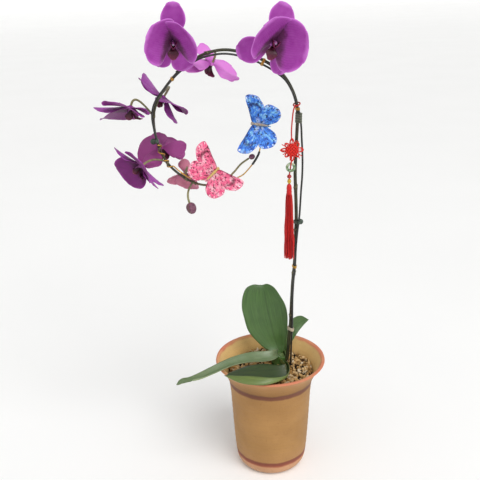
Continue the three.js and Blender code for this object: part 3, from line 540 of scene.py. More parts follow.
def drillHoles(piece, floor, count, radius, circle, sides):
    spare = 4  # how far each drill stands out of both faces of the floor
    drills = []
    for i in range(count):
        angle = 2 * math.pi * (i + 0.5) / count
        drill = turnedShape([(radius, -spare), (radius, floor + spare)], sides)
        points = drill["points"] + (circle * math.cos(angle), circle * math.sin(angle), 0)
        drills.append(addObject("drill", newMesh("drill", points * mm, drill["faces"])))
        cut = piece.modifiers.new("drain", "BOOLEAN")
        cut.operation, cut.solver, cut.object = "DIFFERENCE", "EXACT", drills[-1]
    piece.data = solidMesh(piece, piece.name)
    for drill in drills:
        bpy.data.objects.remove(drill)


def makePot(height, foot, outside, inside, floor, holes, ridges, sides):
    outer, inner = evenProfile(outside, 92), evenProfile(inside, 70)
    profile = [(foot, 0)]
    for r, z in outer[1:]:
        ridged = ridges["low"] < z < ridges["high"]
        profile.append((r + ridges["depth"] * math.sin(z * 2 * math.pi / ridges["pitch"]) * ridged, z))
    shape = turnedShape(profile + list(inner), sides)
    piece = makePiece("potBody", [shape], [makeStoneware(height)], ["pot"])
    drillHoles(piece, floor, **holes)
    mesh = piece.data
    points = np.array([tuple(vertex.co) for vertex in mesh.vertices]) / mm
    radii, heights = np.hypot(points[:, 0], points[:, 1]), points[:, 2]
    outerWall = np.interp(heights, outer[:, 1], outer[:, 0])
    innerWall = np.interp(heights, inner[::-1, 1], inner[::-1, 0])
    within = (radii < (outerWall + innerWall) / 2) & (heights > floor - 1)
    mesh.attributes.new("inside", "FLOAT", "POINT").data.foreach_set("value", within.astype(np.float32))


makePot(**pot)
print("pot made")

# Potting mix: bark and pumice chips lying on a fill painted near black as the shade between them

pottingMix = {
    "top": 125.6, "clear": 1.0, "foot": 34, "rim": [(50.6, 1.6), (40, 0.6), (12, 0)], "sides": 72,
    "chips": 640, "chipSize": 5.6, "seed": 7, "lift": 0.6, "reach": 50, "spokes": 40,
    "crown": (12, 14), "crownRadius": 9.5,
}


def makeBark():
    # Composted bark and pumice: split, dusty chips from straw to brown, on a fill painted black as shade.
    material, add, place = startMaterial("bark and pumice", {"Roughness": 0.92, "Specular IOR Level": 0.2})
    tone = add("Attribute", attribute_name="tone").outputs["Fac"]
    # tone 0 is the fill: painted shade between the chips
    colour = add("ValToRGB", [tone], [
        (0.0, "#1b120a"), (0.08, "#4a3219"), (0.25, "#a67f48"), (0.5, "#d6ad72"), (0.75, "#e6c58e"),
        (1.0, "#f6e8cc"),
    ])
    fibre = add("TexNoise", {"Vector": place, "Scale": 1000 / 1.1, "Detail": 5.0, "Roughness": 0.7})
    dust = add("ValToRGB", [fibre], [(0.3, "#86694a"), (0.7, "#ffffff")])
    colour = add("Mix.RGBA", [0.6, colour, dust], blend_type="MULTIPLY")
    return finishMaterial(material, colour, None, fibre, 0.5)


def chipTree():
    tree, add, start = newTree(
        "scatterChips", {"Density": "Float", "Chip size": "Float", "Seed": "Int", "Finish": "Material"}
    )
    spread = add(
        "DistributePointsOnFaces",
        {"Mesh": start["Geometry"], "Density": start["Density"], "Seed": start["Seed"]},
    )
    blank = add("MeshIcoSphere", {"Radius": 0.5, "Subdivisions": 1})
    turn = add("RandomValue.FLOAT_VECTOR", {"Max": (6.28, 6.28, 6.28), "Seed": start["Seed"]})
    least, most = (0.45, 0.35, 0.3), (1.7, 1.0, 0.7)  # as shares of the chip size
    size = add("RandomValue.FLOAT_VECTOR", {"Min": least, "Max": most, "Seed": 3})
    scale = add("VectorMath.SCALE", {0: size, "Scale": start["Chip size"]})
    chips = add("InstanceOnPoints", {"Points": spread, "Instance": blank, "Rotation": turn, "Scale": scale})
    tone = add("RandomValue.FLOAT", [0.08, 1.0, 0, 11])
    toned = add(
        "StoreNamedAttribute.FLOAT", {"Geometry": chips, "Name": "tone", "Value": tone}, domain="INSTANCE",
    )
    loose = add("RealizeInstances", {"Geometry": toned})
    rough = add("TexNoise", {"Scale": 420.0, "Detail": 1.0})  # splits about 2.4 mm apart
    centred = add("VectorMath.SUBTRACT", [rough.outputs["Color"], (0.5, 0.5, 0.5)])
    push = add("VectorMath.SCALE", {0: centred, "Scale": 0.0034})
    split = add("SetPosition", {"Geometry": loose, "Offset": push})
    add("NodeGroupOutput", [add("SetMaterial", {"Geometry": split, "Material": start["Finish"]})])
    return tree


def makeMix(top, clear, foot, rim, sides, chips, chipSize, seed, lift, reach, spokes, crown, crownRadius):
    bark = makeBark()
    floor = pot["floor"]
    wall = [(r - clear, z) for r, z in reversed(pot["inside"]) if floor < z < top]
    profile = [(foot, floor + 0.4), *wall, *((r, top - drop) for r, drop in rim)]
    # tone 0 paints the fill near black, as the shade in the gaps between the chips
    fill = painted(turnedShape(profile, sides), 0, tone=0.0)
    makePiece("pottingFill", [fill], [bark], ["potting_mix"])
    points, faces = discGrid(np.linspace(0.4, reach, 14), spokes)
    points = points + (0, 0, top + lift)
    free = [face for face in faces if np.linalg.norm(points[list(face), :2].mean(0) - crown) > crownRadius]
    piece = grow("pottingChips", chipTree(), points * mm, free, {
        "Density": chips / (math.pi * (reach * mm) ** 2), "Chip size": chipSize * mm, "Seed": seed,
        "Finish": bark,
    })
    piece.data.shade_flat()
    dress(piece, ())


makeMix(**pottingMix)
print("potting mix made")

# Flower spike and the wire beside it

spike = {
    "planeY": 8,
    "root": [(12, 13, 124), (16.5, 10.5, 128), (20.4, 8.6, 134)],
    # x, z, then where the wire lies round the spike in degrees, and how far off
    "route": [
        (22, 145, 35, 3.9), (23.3, 164, 50, 3.8), (25.1, 182, 65, 3.8), (26.4, 210, 80, 3.7),
        (27.8, 237, 90, 3.6), (29.6, 257, 85, 3.5), (30.6, 284, 80, 3.5), (31.2, 302, 65, 3.5),
        (31.5, 318, 35, 3.6), (30.8, 346, 5, 5.4), (30.1, 366, 0, 7.4), (30.6, 386, 0, 7.0),
        (31.6, 407, 0, 5.0), (32.2, 420, 20, 3.9), (32.6, 432, 60, 3.6), (31.4, 444, 90, 3.5),
        (27.6, 456.5, 100, 3.4), (20.2, 470.3, 110, 3.4), (10.4, 481, 150, 3.4),
        (-2.3, 489.3, 178, 3.6), (-17.8, 496.3, 180, 3.6), (-40.7, 501.6, 178, 3.5),
        (-56, 500.6, 150, 3.4), (-74, 494.4, 120, 3.4), (-92.2, 481.8, 105, 3.3),
        (-103, 471, 95, 3.3), (-112, 459.8, 80, 3.2), (-119.5, 447, 60, 3.2),
        (-123, 434.5, 70, 3.2), (-123, 420, 90, 3.1), (-120.8, 406, 90, 3.1),
    ],
    "end": [
        (-115.8, 391), (-108.5, 379), (-98.5, 369.3), (-86.5, 361.2), (-73, 356.4), (-59.5, 356.6),
        (-47.5, 361.6), (-38, 370), (-30, 379), (-21.5, 385),
    ],
    "radius": [(0, 2.1), (0.35, 1.9), (0.62, 1.6), (0.85, 1.35), (1, 1.0)],
    "steps": 420, "sides": 16,
    # the joints count along the route, swell the spike, and carry a papery scale each
    "joints": [2.4, 4.5, 6.9, 9.2, 11.6, 18.4, 20.4, 22.3, 24, 26.3, 28, 30.4, 31.6, 33.5, 34.2, 36],
    "swell": 0.45, "swellReach": 2.2, "bractLength": 4.6, "youngFrom": 0.88,
    "pedicel": 1.15, "pedicelSides": 12,
}
wire = {
    "radius": 1.1, "ease": 0.55, "foot": [(25.6, 5.2, 20), (25.2, 5.2, 70), (24.9, 5.4, 118)],
    "steps": 420, "sides": 14,
}

inPlane = [(x, spike["planeY"], z) for x, z, *_ in spike["route"] + spike["end"]]
spikePoints = np.array(spike["root"] + inPlane, float)


def spikeStation(i):
    # the place, direction and outward side of the spike at a route point, or between two of them
    place = len(spike["root"]) + i
    at, last = curvePoint(spikePoints, place), len(spikePoints) - 1.001
    ahead, behind = (curvePoint(spikePoints, min(place + d, last)) for d in (0.004, -0.004))
    tangent = unit(ahead - behind)
    return at, tangent, unit(np.cross((0, 1, 0), tangent))


def besideSpike(i, angle, distance):
    # a point round the spike: angle 0 is on its outward side and a right angle is in front of it
    at, _, outward = spikeStation(i)
    return at + outward * distance * math.cos(angle) + np.array((0, -1, 0)) * distance * math.sin(angle)


wireRows = np.array(wire["foot"] + [
    tuple(besideSpike(i, math.radians(side), away + wire["ease"]))
    for i, (_, _, side, away) in enumerate(spike["route"])
])


def makeStem():
    # A waxy flower stalk: nearly black olive that flushes purple-brown, and paler in the young stalks.
    material, add, place = startMaterial(
        "waxy stem", {"Roughness": 0.42, "IOR": 1.45, "Subsurface Weight": 0.04, "Subsurface Scale": 0.001}
    )
    young = add("Attribute", attribute_name="young").outputs["Fac"]
    flush = add("TexNoise", [place, 1000 / 16])
    old = add("ValToRGB", [flush], [(0.35, "#2b2d1d"), (0.52, "#3d3d26"), (0.68, "#33251e")])
    cloud = add("TexNoise", [place, 1000 / 5])
    pale = add("ValToRGB", [cloud], [(0.3, "#6f6b44"), (0.7, "#a49c70")])
    colour = add("Mix.RGBA", [young, old, pale])
    skin = add("TexNoise", [place, 1000 / 0.8])
    return finishMaterial(material, colour, None, skin, 0.08)


stemSkin = makeStem()
# PVC-coated steel wire: near black, with an even gloss that is scuffed in places.
blackWire = makeClouded(
    "black coated wire", 6, [(0.4, "#11110f"), (0.75, "#2c2c27")], 0.03, {"IOR": 1.53}, 5.0, (0.3, 0.16),
)
wireTube = tubeShape(evenPath(wireRows, wire["steps"]), wire["radius"], wire["sides"])
makePiece("supportWire", [wireTube], [blackWire], ["support_wire"])

blooms = [
    # the flower's centre, the way it faces, its upper side, its size, where its stalk leaves the
    # spike, the turn and lean of its sepals and petals, and its colour
    {"name": "bloom_1", "at": (5.3, -18, 508.8), "face": (0.17, -0.98, -0.01), "up": (0.38, 0.05, 0.92),
     "size": 0.95, "stem": 18.4, "sepals": [(0, -9), (128, -19), (-128, -19)],
     "petals": [(64, 60), (-74, 50)], "tint": "bright"},
    {"name": "bloom_2", "at": (-59.4, 37, 484.7), "face": (-0.46, 0.27, -0.84), "up": (-0.28, 0.86, 0.43),
     "size": 0.82, "stem": 22.3, "sepals": [(0, 2), (128, 6), (-105, 6)],
     "petals": [(65, 9), (-65, 23)], "tint": "pale"},
    {"name": "bloom_3", "at": (-95.5, -21, 511.4), "face": (0.11, -0.99, -0.11), "up": (0.06, -0.1, 0.99),
     "size": 0.87, "stem": 24, "sepals": [(0, 4), (140, -24), (-150, -18)],
     "petals": [(72, 48), (-56, 64)], "tint": "bright"},
    {"name": "bloom_4", "at": (-115.3, 46, 448.6), "face": (-0.58, -0.02, -0.81), "up": (-0.76, -0.2, 0.58),
     "size": 0.8, "stem": 26.3, "sepals": [(-14, 0), (165, 10), (-150, 36)],
     "petals": [(20, -12), (-122, -6)], "tint": "deep"},
    {"name": "bloom_5", "at": (-146, 0, 445), "face": (-0.28, 0, -0.96), "up": (-0.96, 0, 0.28),
     "size": 0.86, "stem": 28, "sepals": [(0, 24), (112, 14), (-112, -6)],
     "petals": [(38, 44), (-75, -8)], "tint": "deep"},
    {"name": "bloom_6", "at": (-118.4, 27, 396.1), "face": (0.09, 0.79, -0.6), "up": (-0.4, 0.58, 0.71),
     "size": 0.75, "stem": 30.4, "sepals": [(0, 40), (128, -9), (-128, -9)],
     "petals": [(70, 54), (-65, 27)], "tint": "dusky"},
    {"name": "bloom_7", "at": (-139, -1, 381.5), "face": (-0.8, -0.15, -0.57), "up": (-0.59, 0, 0.82),
     "size": 0.77, "stem": 31.6, "sepals": [(0, 26), (178, -2), (-150, 8)],
     "petals": [(85, 62), (-80, -5)], "tint": "deep"},
    {"name": "bloom_8", "at": (-94.3, 33, 363.5), "face": (-0.34, 0.07, -0.94), "up": (-0.63, -0.76, 0.17),
     "size": 0.56, "stem": 33.5, "sepals": [(0, 35), (128, -19), (-128, -19)],
     "petals": [(90, 55), (-74, 28)], "tint": "shadedMauve"},
]
buds = [
    {"name": "bud_large", "at": (-86.8, 5, 330.5), "length": 13.6, "radius": 5.7, "stem": 34.2,
     "axis": (0.3, 0, -1)},
    {"name": "bud_tip", "at": (-17.6, 8, 387), "length": 7, "radius": 3, "stem": None, "axis": (1, 0, 0.35)},
]


def bloomFrame(bloom):
    z = unit(bloom["face"])
    x = unit(np.cross(bloom["up"], z))
    return basis(x, np.cross(z, x), z, bloom["at"])


def pedicelPath(start, tip, direction):
    # a smooth stalk that meets the flower square to its back
    behind = tip - direction * 0.5 * np.linalg.norm(tip - start)
    t = np.linspace(0, 1, 30)[:, None]
    leave = 3 * (1 - t) ** 2 * t * (start + behind) / 2
    return (1 - t) ** 3 * start + leave + 3 * (1 - t) * t**2 * behind + t**3 * tip


def makeBract(i, radius, length, side):
    # the papery scale at a joint of the spike: a cuff that is longest on one side
    at, tangent, outward = spikeStation(i)
    front = np.cross(tangent, outward)
    rows = []
    for rise, out in ((-0.5, 0.0), (0.1, 0.35), (0.55, 0.6), (1.0, 0.75), (0.96, 0.55), (0.5, 0.35)):
        ring = []
        for a in aroundCircle(20):
            point = 0.25 + 0.75 * (0.5 + 0.5 * math.cos(a - side)) ** 2
            spoke = outward * math.cos(a) + front * math.sin(a)
            ring.append(at + spoke * (radius + out) + tangent * length * rise * (point if rise > 0 else 0.6))
        rows.append(ring)
    return gridShape(np.array(rows), closed=True)


def makeMainStem():
    path = evenPath(spikePoints, spike["steps"])
    radii = np.array([fromTable(spike["radius"], s) for s in np.linspace(0, 1, len(path))])
    for i in spike["joints"]:
        off = np.linalg.norm(path - spikeStation(i)[0], axis=1)
        radii += spike["swell"] * np.exp(-(off / spike["swellReach"]) ** 2)
    stem = tubeShape(path, radii, spike["sides"])
    ringCount = (len(stem["points"]) - 2) // spike["sides"]  # the last two points close the ends
    share = np.append(np.repeat(np.linspace(0, 1, ringCount), spike["sides"]), (0, 1))
    stem["marks"]["young"] = np.clip((share - spike["youngFrom"]) / 0.05, 0, 0.75)
    return stem


def makePedicel(stem, tip, direction):
    path = pedicelPath(spikeStation(stem)[0], tip, direction)
    share = np.linspace(0, 1, len(path))
    radii = spike["pedicel"] * (0.85 + 0.25 * share + 0.5 * np.exp(-((share / 0.06) ** 2)))
    shape = tubeShape(path, radii, spike["pedicelSides"])
    shape["marks"]["young"] = np.clip(np.linspace(0.1, 1.3, len(shape["points"])), 0, 1)
    return shape


def makeSpike():
    shapes = [makeMainStem()]
    random.seed(4)
    for i in spike["joints"]:
        radius = fromTable(spike["radius"], (i + len(spike["root"])) / (len(spikePoints) - 1))
        bract = makeBract(i, radius, spike["bractLength"], random.uniform(-1, 1))
        shapes.append(painted(bract, 0, young=0.35))
    for bloom in blooms:
        turn, place = bloomFrame(bloom)
        behind = 3.3 * bloom["size"] + 0.3
        shapes.append(makePedicel(bloom["stem"], place - turn[:, 2] * behind, turn[:, 2]))
    for bud in buds:
        if bud["stem"]:
            axis = unit(bud["axis"])
            top = np.array(bud["at"]) - axis * (bud["length"] / 2 + 0.3)
            shapes.append(makePedicel(bud["stem"], top, axis))
    makePiece("flowerSpike", shapes, [stemSkin], ["flower_spike"])


makeSpike()
print("spike and wire made")

# Blooms

tepals = {
    "rows": 34, "columns": 25, "thickness": 0.9, "sepalLengths": (46, 42, 42), "petalLengths": (43, 43),
    "heart": (3.6, 3.6, 2.7),
    "petal": {
        "halfWidth": 27.5, "root": (2.4, 0.2), "bend": -12, "trough": 0.2, "wave": 0.9,
        "outline": [(0, 0.2), (0.06, 0.46), (0.16, 0.76), (0.3, 0.94), (0.48, 1), (0.68, 0.93), (0.84, 0.74),
                    (0.95, 0.44), (1, 0.16)],
    },
    "sepal": {
        "halfWidth": 14, "root": (2.4, -1.3), "bend": -14, "trough": 0.22, "wave": 0.4,
        "outline": [(0, 0.14), (0.08, 0.28), (0.22, 0.6), (0.45, 0.97), (0.65, 1), (0.85, 0.72),
                    (0.95, 0.42), (1, 0.14)],
    },
}
lips = {
    "lift": 2.6,
    "lobe": {"root": (1.3, 0), "thickness": 1.1, "trough": 0.2, "wave": 0.0, "columns": 13},
    "middle": {
        "turn": 180, "rise": 58, "length": 20, "halfWidth": 6.5, "bend": -70, "rows": 24, "phase": 0.1,
        "ruffle": 0.4, "outline": [(0, 0.12), (0.18, 0.34), (0.34, 0.5), (0.6, 1), (0.8, 0.75), (1, 0.2)],
    },
    "side": {
        "rise": 74, "length": 14, "halfWidth": 5.5, "bend": 22, "rows": 16, "ruffle": 0.3,
        "outline": [(0, 0.15), (0.4, 0.7), (0.7, 1), (1, 0.45)],
    },
    "sideTurn": 118,
    "column": [(0, 0.4, -1.4), (0, 1.2, 3.2), (0, 0.6, 7.4)],
    "columnRadius": 2.4, "columnSteps": 18,
    "wart": {"radii": (0.8, 1, 1.3), "at": (0.75, -2.6, 2.4)},
    "cap": {"radii": (1.5, 1.2, 0.8), "height": 8.9},
}
tints = {
    # edge, flesh, deep throat, and the back of the petal
    "bright": ("#e48cea", "#942a96", "#470e2c", "#cb74d4"),
    # the last three carry painted shade: darker copies of the colour for blooms that hang low and turn down
    # and away
    "pale": ("#eea2e8", "#b84ab4", "#5d1a4a", "#e68ae0"),
    "deep": ("#a03f9e", "#6f2169", "#380c28", "#a44fa8"),
    "dusky": ("#b264a0", "#853572", "#431530", "#a4508f"),
    "shadedMauve": ("#e2a4b0", "#98566f", "#4a1c30", "#d2889c"),
}


def makePetalSkin(name, edge, flesh, throat, back):
    # Orchid tepals: thin waxy tissue that light comes through. Fine veins fan out from the claw, the
    # throat is darkest, the rim is a thin pale line, and the cells glitter a little.
    material, add, place = startMaterial(name, {
        "IOR": 1.42, "Specular IOR Level": 0.25, "Subsurface Weight": 0.15, "Subsurface Scale": 0.003,
        "Subsurface Radius": (1.0, 0.35, 0.8),
    })
    split = add("SeparateXYZ", [add("UVMap", uv_map="surface")])
    u, v = split.outputs["X"], split.outputs["Y"]
    offset = add("Math.SUBTRACT", [v, 0.5])
    side = add("Math.MULTIPLY", [add("Math.ABSOLUTE", [offset]), 2.0])
    blotch = add("TexNoise", [place, 1000 / 7, 4.0])
    wander = add("Math.MULTIPLY_ADD", [blotch, 0.07, offset])
    fan = add("Math.MULTIPLY", [wander, 2 * math.pi * 11])  # eleven veins a side
    bold, fine = (
        add("Math.POWER", [add("Math.ABSOLUTE", [add(f"Math.{wave}", [fan])]), sharp])
        for wave, sharp in (("COSINE", 7.0), ("SINE", 9.0))
    )
    forked = add("Math.MULTIPLY", [fine, u])
    veins = add("Math.MULTIPLY_ADD", [bold, 0.75, forked], use_clamp=True)
    reach = add("Math.MULTIPLY_ADD", [add("Math.SUBTRACT", [blotch, 0.5]), 0.16, u])
    deepen = add("ValToRGB", [reach], [(0.17, throat), (0.3, flesh), (0.75, flesh), (1.0, edge)])
    rims = add("Math.MAXIMUM", [add("Math.POWER", [side, 16.0]), add("Math.POWER", [u, 26.0])])
    front, rear = deepen, back
    for share, over in (
        (add("Math.MULTIPLY", [blotch, 0.3]), edge), (add("Math.MULTIPLY", [veins, 0.32]), throat),
        (add("Math.MULTIPLY", [rims, 0.8], use_clamp=True), edge),
    ):
        front = add("Mix.RGBA", [share, front, over])
    claw = add("ValToRGB", [u], [(0.0, "#ffffff"), (0.35, "#000000")])
    for share in (add("Math.MULTIPLY", [veins, 0.3]), claw):
        rear = add("Mix.RGBA", [share, rear, flesh])
    behind = add("Attribute", attribute_name="back").outputs["Fac"]
    colour = add("Mix.RGBA", [behind, front, rear])
    cells = add("TexNoise", [place, 1000 / 0.5])
    rough = add("Math.MULTIPLY_ADD", [cells, 0.3, 0.35])
    relief = add("Math.MULTIPLY_ADD", [veins, -1.2, cells])
    return finishMaterial(material, colour, rough, relief, 0.1)


def makeLipSkin():
    # The lip is thicker than the petals, blackish crimson in its throat and brighter at its tips.
    material, add, place = startMaterial("crimson lip", {
        "Roughness": 0.36, "IOR": 1.42, "Subsurface Weight": 0.1, "Subsurface Scale": 0.002,
    })
    u = add("SeparateXYZ", [add("UVMap", uv_map="surface")]).outputs["X"]
    ground = add("ValToRGB", [u], [(0.0, "#2a0918"), (0.4, "#4a1129"), (0.78, "#6b1a3e"), (1.0, "#96346a")])
    flecks = add("TexNoise", [place, 1000 / 1.2])
    streak = add("ValToRGB", [flecks], [(0.35, "#8d6f80"), (0.65, "#ffffff")])
    colour = add("Mix.RGBA", [0.5, ground, streak], blend_type="MULTIPLY")
    return finishMaterial(material, colour, None, flecks, 0.12)


def makeFlowerFlesh(name, dark, pale, size):
    # Smooth waxy flesh of the column, its cap or the warty callus, in patches size millimetres across.
    return makeClouded(name, size, [(0.38, dark), (0.62, pale)], 0.08, {
        "Roughness": 0.35, "IOR": 1.42, "Subsurface Weight": 0.15, "Subsurface Scale": 0.002,
    })


petalSkins = {name: makePetalSkin(f"{name} petal", *codes) for name, codes in tints.items()}
lipFinishes = [
    makeLipSkin(),
    makeFlowerFlesh("lilac column", "#6b2c62", "#a765a4", 3),
    makeFlowerFlesh("freckled callus", "#5d1a1e", "#a58a3c", 0.8),
    makeFlowerFlesh("anther cap", "#a97fa6", "#e0c8dc", 1.5),
]


def closedOutline(outline, u, start=0.9):
    # the outline's half width, rounded off to a smooth tip
    if u <= start:
        return fromTable(outline, u)
    share = (u - start) / (1 - start)
    return max(fromTable(outline, start) * math.sqrt(max(1 - share * share, 0)), 0.02)


def tepal(size, turn, rise, length, halfWidth, root, outline, bend, trough, wave, rows, columns, thickness,
          phase, ruffle=0.5):
    # one petal, sepal or lobe of the lip, drawn along its own middle and turned about the flower's axis
    start, curl = math.radians(rise), math.radians(bend)
    run = length - root[0]
    grid = np.zeros((rows, columns, 3))
    depth = np.zeros((rows, columns))
    for i, s in enumerate(np.linspace(0, 1, rows)):
        u = 0.35 * s + 0.65 * math.sin(0.5 * math.pi * s)
        width = halfWidth * closedOutline(outline, u)
        angle = start + curl * u
        y = root[0] + run * (math.sin(angle) - math.sin(start)) / curl
        z = root[1] + run * (math.cos(start) - math.cos(angle)) / curl
        for j, v in enumerate(np.linspace(-1, 1, columns)):
            lift = trough * (v * width) ** 2 / halfWidth + wave * v * v * math.sin(9 * u + 2 * v)
            frill = ruffle * abs(v) ** 3 * math.sin(2 * math.pi * (3.2 * u + 0.6 * v + phase)) * u
            keel = -0.5 * ruffle * math.exp(-((v / 0.07) ** 2)) * (1 - u)
            lift += frill + keel
            grid[i, j] = (v * width, y - lift * math.sin(angle), z + lift * math.cos(angle))
            depth[i, j] = thickness * (1 - 0.55 * v**4) * (1 - 0.45 * u**3)
    return bladeShape(grid * size @ turnAbout(2, turn).T, depth)


def makePerianth(bloom):
    size, name = bloom["size"], bloom["name"]
    common = {"size": size, **{key: tepals[key] for key in ("rows", "columns", "thickness")}}
    heart = ballShape(np.array(tepals["heart"]) * size, (0, 0, -0.6 * size))
    shapes = [painted(heart, 0, back=1)]
    for kind, firstPhase, step in (("sepal", 0.0, 0.3), ("petal", 0.2, 0.45)):
        for k, (turn, rise) in enumerate(bloom[f"{kind}s"]):
            shapes.append(tepal(
                turn=turn, rise=rise, length=tepals[f"{kind}Lengths"][k], phase=firstPhase + step * k,
                **tepals[kind], **common,
            ))
    shapes = [moved(shape, bloomFrame(bloom)) for shape in shapes]
    makePiece(f"{name}Perianth", shapes, [petalSkins[bloom["tint"]]], [f"{name}_perianth"])


def makeLip(bloom):
    size = bloom["size"]
    shapes = [tepal(size, **lips["middle"], **lips["lobe"])]
    for side in (1, -1):
        turn = side * lips["sideTurn"]
        shapes.append(tepal(size, turn, phase=0.55 - 0.15 * side, **lips["side"], **lips["lobe"]))
    steps = lips["columnSteps"]
    share = np.linspace(0, 1, steps)
    radii = (lips["columnRadius"] - 0.5 * share + 0.35 * np.exp(-((share - 0.9) / 0.12) ** 2)) * size
    run = evenPath(np.array(lips["column"]) * (1, 1, size), steps)
    shapes.append(painted(tubeShape(run, radii, steps), 1))
    wart, cap = lips["wart"], lips["cap"]
    for side in (-1, 1):
        centre = np.array(wart["at"]) * (side, 1, 1) * size
        shapes.append(painted(ballShape(np.array(wart["radii"]) * size, centre), 2))
    shapes.append(painted(ballShape(np.array(cap["radii"]) * size, (0, 0.2, cap["height"] * size)), 3))
    shapes = [moved(shifted(shape, (0, 0, lips["lift"] * size)), bloomFrame(bloom)) for shape in shapes]
    makePiece(f"{bloom['name']}Lip", shapes, lipFinishes, [f"{bloom['name']}_lip"])


for bloom in blooms:
    makePerianth(bloom)
    makeLip(bloom)
print("blooms made")

# Buds

def makeBudSkin():
    # A closed bud: dull mauve-brown with an olive blush on the seams where the sepals meet.
    material, add, place = startMaterial("mauve bud", {
        "Roughness": 0.5, "IOR": 1.42, "Subsurface Weight": 0.1, "Subsurface Scale": 0.002,
    })
    cloud = add("TexNoise", [place, 1000 / 4])
    skin = add("ValToRGB", [cloud], [(0.3, "#5a2e44"), (0.7, "#85566b")])
    seam = add("Attribute", attribute_name="seam").outputs["Fac"]
    blush = add("Math.MULTIPLY", [seam, 0.7])
    colour = add("Mix.RGBA", [blush, skin, "#5b5433"])
    return finishMaterial(material, colour, None, cloud, 0.1)


budSkin = makeBudSkin()
budProfile = [
    (0, 0.02), (0.03, 0.3), (0.1, 0.62), (0.25, 0.9), (0.42, 1), (0.6, 0.97), (0.72, 0.9), (0.87, 0.66),
    (0.96, 0.4), (1, 0.04),
]


def makeBud(bud):
    # pointed and closed, with a shallow seam where each two of its three sepals meet
    name, at, length, radius, axis = (bud[key] for key in ("name", "at", "length", "radius", "axis"))
    z = unit(axis)
    x = unit(np.cross((0, 1, 0), z))
    rows, sides = 26, 36
    grid = np.zeros((rows, sides, 3))
    seams = np.zeros((rows, sides))
    for i, s in enumerate(np.linspace(0, 1, rows)):
        share = 0.5 - 0.5 * math.cos(math.pi * s)
        r = radius * fromTable(budProfile, share)
        for j, a in enumerate(aroundCircle(sides)):
            seams[i, j] = math.exp(-((((a * 3 / (2 * math.pi)) % 1) - 0.5) / 0.07) ** 2)
            out = r * (1 - 0.07 * seams[i, j] * math.sin(math.pi * share))
            grid[i, j] = (out * math.cos(a), out * math.sin(a), (share - 0.5) * length)
    shape = gridShape(grid, closed=True, caps=True)
    shape["marks"]["seam"] = np.append(seams.ravel(), [0, 1])
    shape = moved(shape, basis(x, np.cross(z, x), z, at))
    makePiece(name.replace("_", ""), [shape], [budSkin], [name])


for bud in buds:
    makeBud(bud)
print("buds made")

# Crown and leaves

crown = {
    "centre": (12, 14),
    "profile": [
        (4.2, 92.6), (6.6, 99), (7.4, 104), (8.2, 118), (8.2, 127), (6.8, 134), (4.2, 139.6), (1.4, 141.4),
    ],
    "roots": 5, "rootRadius": 2.3, "rootRun": [(2, 104), (14, 96), (23, 80), (25, 56)],
    # the sheaths of old leaves that clasp it: the way each opens, its foot, its top and its radius
    "sheaths": [(200, 119, 139, 9.6), (20, 121, 142, 9.3), (290, 123, 145, 8.9)],
}


def makeRootSkin():
    # The short stem is leaf green with old scars, and its roots share the same skin.
    material, add, place = startMaterial("crown and roots", {"Roughness": 0.6, "IOR": 1.45})
    cloud = add("TexNoise", [place, 1000 / 5])
    colour = add("ValToRGB", [cloud], [(0.3, "#3f5228"), (0.55, "#58703a"), (0.75, "#7d8c5a")])
    z = add("SeparateXYZ", [place]).outputs["Z"]
    turns = add("Math.MULTIPLY", [z, 2 * math.pi / (3.2 * mm)])  # a scar in 3.2 mm
    scars = add("Math.MULTIPLY_ADD", [add("Math.SINE", [turns]), 0.6, cloud])
    return finishMaterial(material, colour, None, scars, 0.2)


def makeSheath(centre, opens, foot, top, radius):
    # the lower part of a leaf, wrapped round the crown and cut away on the side where it opens
    rows = []
    for share in np.linspace(0, 1, 14):
        ring = []
        for k in np.linspace(-1, 1, 25):
            angle = math.radians(opens + 180 + 152 * k)
            height = foot + (top - foot) * share * (1 - 0.55 * k * k)
            out = radius + 0.5 * math.sin(3 * k) - 0.8 * share
            ring.append((centre[0] + out * math.cos(angle), centre[1] + out * math.sin(angle), height))
        rows.append(ring)
    return bladeShape(np.array(rows), 0.9)


def makeCrown(centre, profile, roots, rootRadius, rootRun, sheaths):
    core = turnedShape(evenProfile(profile, 40), 40, lambda a, z: 1 + 0.03 * np.sin(2 * a + z / 9))
    shapes = [shifted(core, (*centre, 0))]
    for i in range(roots):
        # a root starts round the crown, and the further out it runs the more it circles the pot's middle
        angle = 2 * math.pi * (i + 0.35) / roots
        run = []
        for r, z in rootRun:
            x, y = (c * (1 - r / 60) for c in centre)
            run.append((x + r * math.cos(angle), y + r * math.sin(angle), z))
        shapes.append(tubeShape(evenPath(run, 24), rootRadius * np.linspace(1, 0.65, 24), 12))
    makePiece("crownAndRoots", shapes, [makeRootSkin()], ["crown_and_roots"])
    blades = [makeSheath(centre, *row) for row in sheaths]
    makePiece("leafSheaths", blades, [leafSkins["upright"]])


